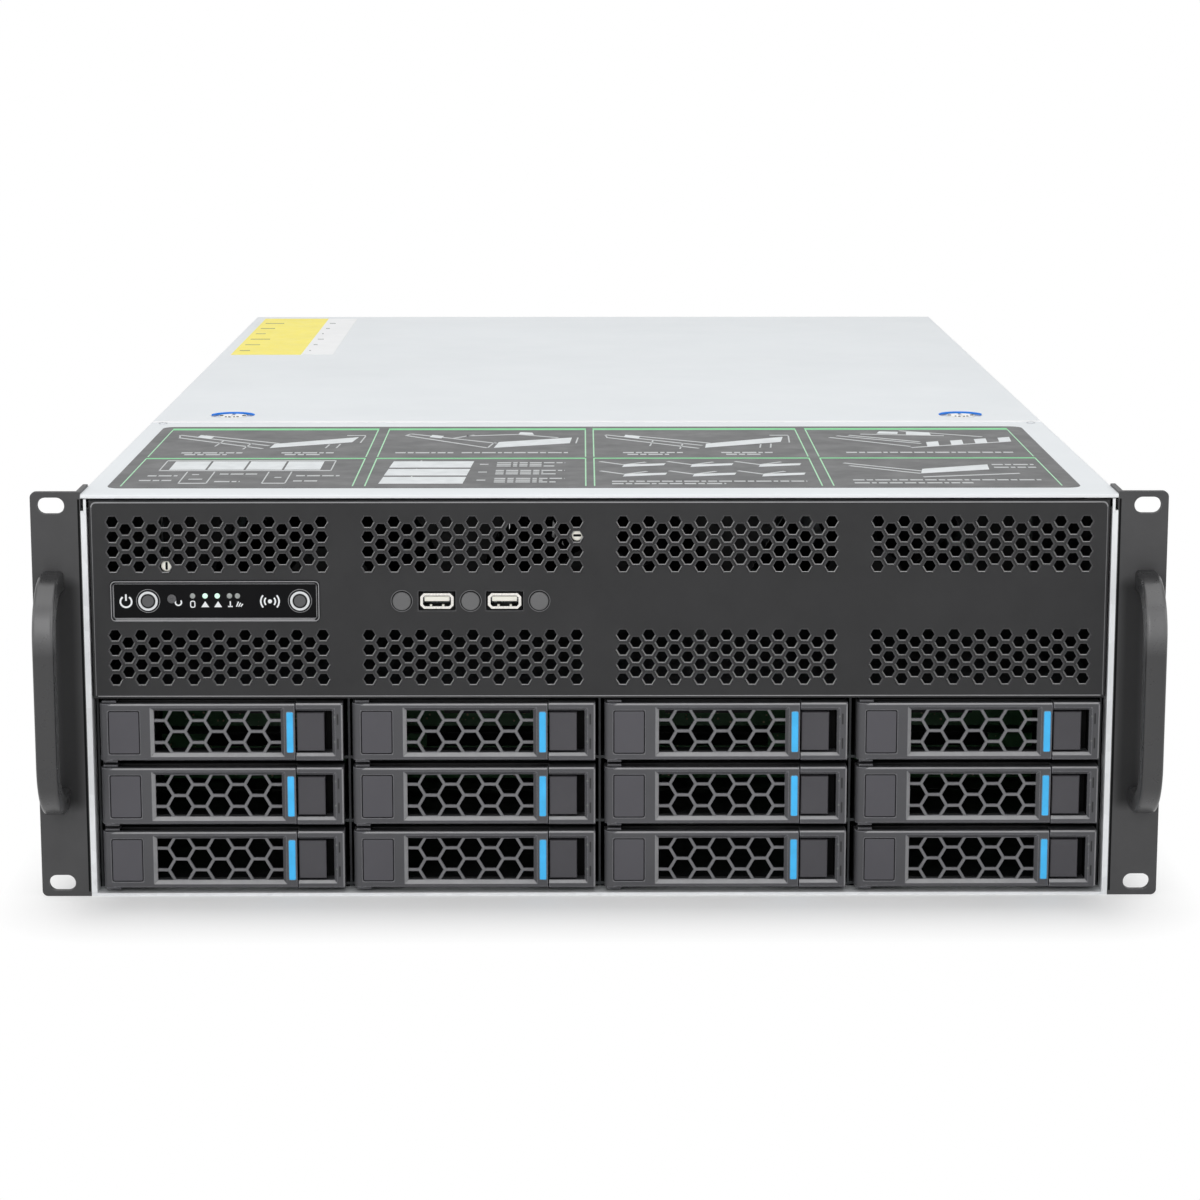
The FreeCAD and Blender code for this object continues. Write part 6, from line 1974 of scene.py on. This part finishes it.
@dataclass
class Studio:
    """Floor, lamps, background and camera.

    Attributes:
        spot: Place of the camera.
        tilt: Downward tilt of the camera in degrees.
        turn: Turn of the camera to the right in degrees.
        lens: Focal length on a 36 mm sensor, in millimetres.
        lamps: Name, place, size and power of each lamp, in metres and watts.
        aim: Point that the lamps face.
        ambient: Strength of the surroundings' light on the object.
        reach: Half the side of the floor, in metres.
        footing: Half the floor that the object covers, where its shadow starts.
        fade: Width over which the shadow ends.
    """

    spot: Triple = mm(-7.6, -1718.7, 383.6)
    tilt: float = 10.677
    turn: float = 0.327
    lens: float = 96.28
    lamps: list[tuple[str, Triple, Point, float]] = field(default_factory=lambda: [
        ("top_softbox", (0.0, -0.3, 2.2), (2.6, 2.2), 25.0),
        ("front_softbox", (-0.6, -2.6, 1.1), (2.2, 1.4), 18.0),
        ("right_softbox", (2.2, -0.9, 1.0), (1.4, 1.4), 8.0),
        ("left_softbox", (-2.2, -0.7, 1.0), (1.4, 1.4), 4.0),
    ])
    aim: Triple = (0.0, -0.2, 0.09)
    ambient: float = 0.4
    reach: float = 9.0
    footing: Triple = mm(205, 393, 0.0)
    fade: float = 55 * MM

    def build(self) -> None:
        """Set up floor, lamps, world and camera."""
        self.floor()
        self.light()
        self.background()
        self.camera()

    def floor(self) -> None:
        """White floor: it keeps the object's shadow near it and runs into the white background."""
        mesh = bpy.data.meshes.new("floor")
        corners = rectangle(-self.reach, self.reach, -self.reach, self.reach)
        mesh.from_pydata([(x, y, 0.0) for x, y in corners], [], [(0, 1, 2, 3)])
        item = bpy.data.objects.new("floor", mesh)
        bpy.context.scene.collection.objects.link(item)
        graph = Graph("floor_white")
        graph.shader.inputs["Roughness"].default_value = 0.6
        graph.shader.inputs["Specular IOR Level"].default_value = 0.05
        cloud = graph.between(graph.noise(3.0, 2.0), 0.0, 1.0)
        graph.link(graph.mix(cloud, (248, 248, 248), (255, 255, 255)), graph.shader.inputs["Base Color"])
        away = graph.away([-half for half in self.footing], self.footing)
        share = graph.between(away, 0.0, 1.0, (0.0, self.fade))
        seen = graph.add("Math", operation="MULTIPLY")
        graph.link(self.seen(graph.tree), seen.inputs[0])
        graph.link(share, seen.inputs[1])
        glow = graph.add("Emission", {"Color": (1.0, 1.0, 1.0, 1.0), "Strength": 1.0})
        blend = graph.add("MixShader", {0: seen.outputs["Value"], 1: graph.shader.outputs["BSDF"],
                                        2: glow.outputs["Emission"]})
        graph.link(blend.outputs["Shader"], graph.tree.nodes["Material Output"].inputs["Surface"])
        mesh.materials.append(graph.material)

    @staticmethod
    def seen(tree: bpy.types.NodeTree) -> Socket:
        """Tell what the camera sees directly, in gloss or through glass.

        Args:
            tree: The material's nodes.

        Returns:
            Value that is 1 for it.
        """
        path = tree.nodes.new("ShaderNodeLightPath")
        total = path.outputs["Is Camera Ray"]
        for name in ("Is Glossy Ray", "Is Transmission Ray"):
            both = tree.nodes.new("ShaderNodeMath")
            both.operation = "MAXIMUM"
            tree.links.new(total, both.inputs[0])
            tree.links.new(path.outputs[name], both.inputs[1])
            total = both.outputs["Value"]
        return total

    def light(self) -> None:
        """Large soft lamps that face the object."""
        for name, spot, size, power in self.lamps:
            lamp = bpy.data.lights.new(name, "AREA")
            lamp.shape = "RECTANGLE"
            lamp.size, lamp.size_y = size
            lamp.energy = power
            item = bpy.data.objects.new(name, lamp)
            item.location = spot
            item.rotation_euler = (Vector(self.aim) - Vector(spot)).to_track_quat("-Z", "Y").to_euler()
            bpy.context.scene.collection.objects.link(item)

    def background(self) -> None:
        """White surroundings for camera, gloss and glass, and a softer light on everything else."""
        world = bpy.data.worlds.new("studio")
        world.use_nodes = True
        tree = world.node_tree
        power = tree.nodes.new("ShaderNodeMapRange")
        power.inputs["To Min"].default_value = self.ambient
        power.inputs["To Max"].default_value = 1.0
        tree.links.new(self.seen(tree), power.inputs["Value"])
        back = tree.nodes["Background"]
        back.inputs["Color"].default_value = (1.0, 1.0, 1.0, 1.0)
        tree.links.new(power.outputs["Result"], back.inputs["Strength"])
        bpy.context.scene.world = world

    def camera(self) -> None:
        """Camera at the photograph's place."""
        data = bpy.data.cameras.new("camera")
        data.sensor_width = 36.0
        data.lens = self.lens
        data.clip_end = 50.0
        item = bpy.data.objects.new("camera", data)
        item.location = self.spot
        item.rotation_euler = (math.radians(90 - self.tilt), 0.0, math.radians(-self.turn))
        bpy.context.scene.collection.objects.link(item)
        bpy.context.scene.camera = item


def main() -> None:
    """Build the whole look around the frame."""
    logging.basicConfig(level=logging.INFO, format="%(name)s: %(message)s")
    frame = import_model()
    bpy.context.scene.view_settings.view_transform = "Standard"
    CadNodes(frame["nodes"], frame["record"]).dress()
    TopLabel().build()
    CoverSticker().build()
    CoverCatches().build()
    CoverSeam().build()
    BezelTrim().build()
    FrontControls().build()
    for row in (1, 2, 3):
        for column in (1, 2, 3, 4):
            CarrierTrim(row, column).build()
    RearPorts().build()
    for place in ("lower", "upper"):
        SupplyTrim(place).build()
    Fasteners().build()
    Studio().build()


if __name__ == "__main__":
    main()
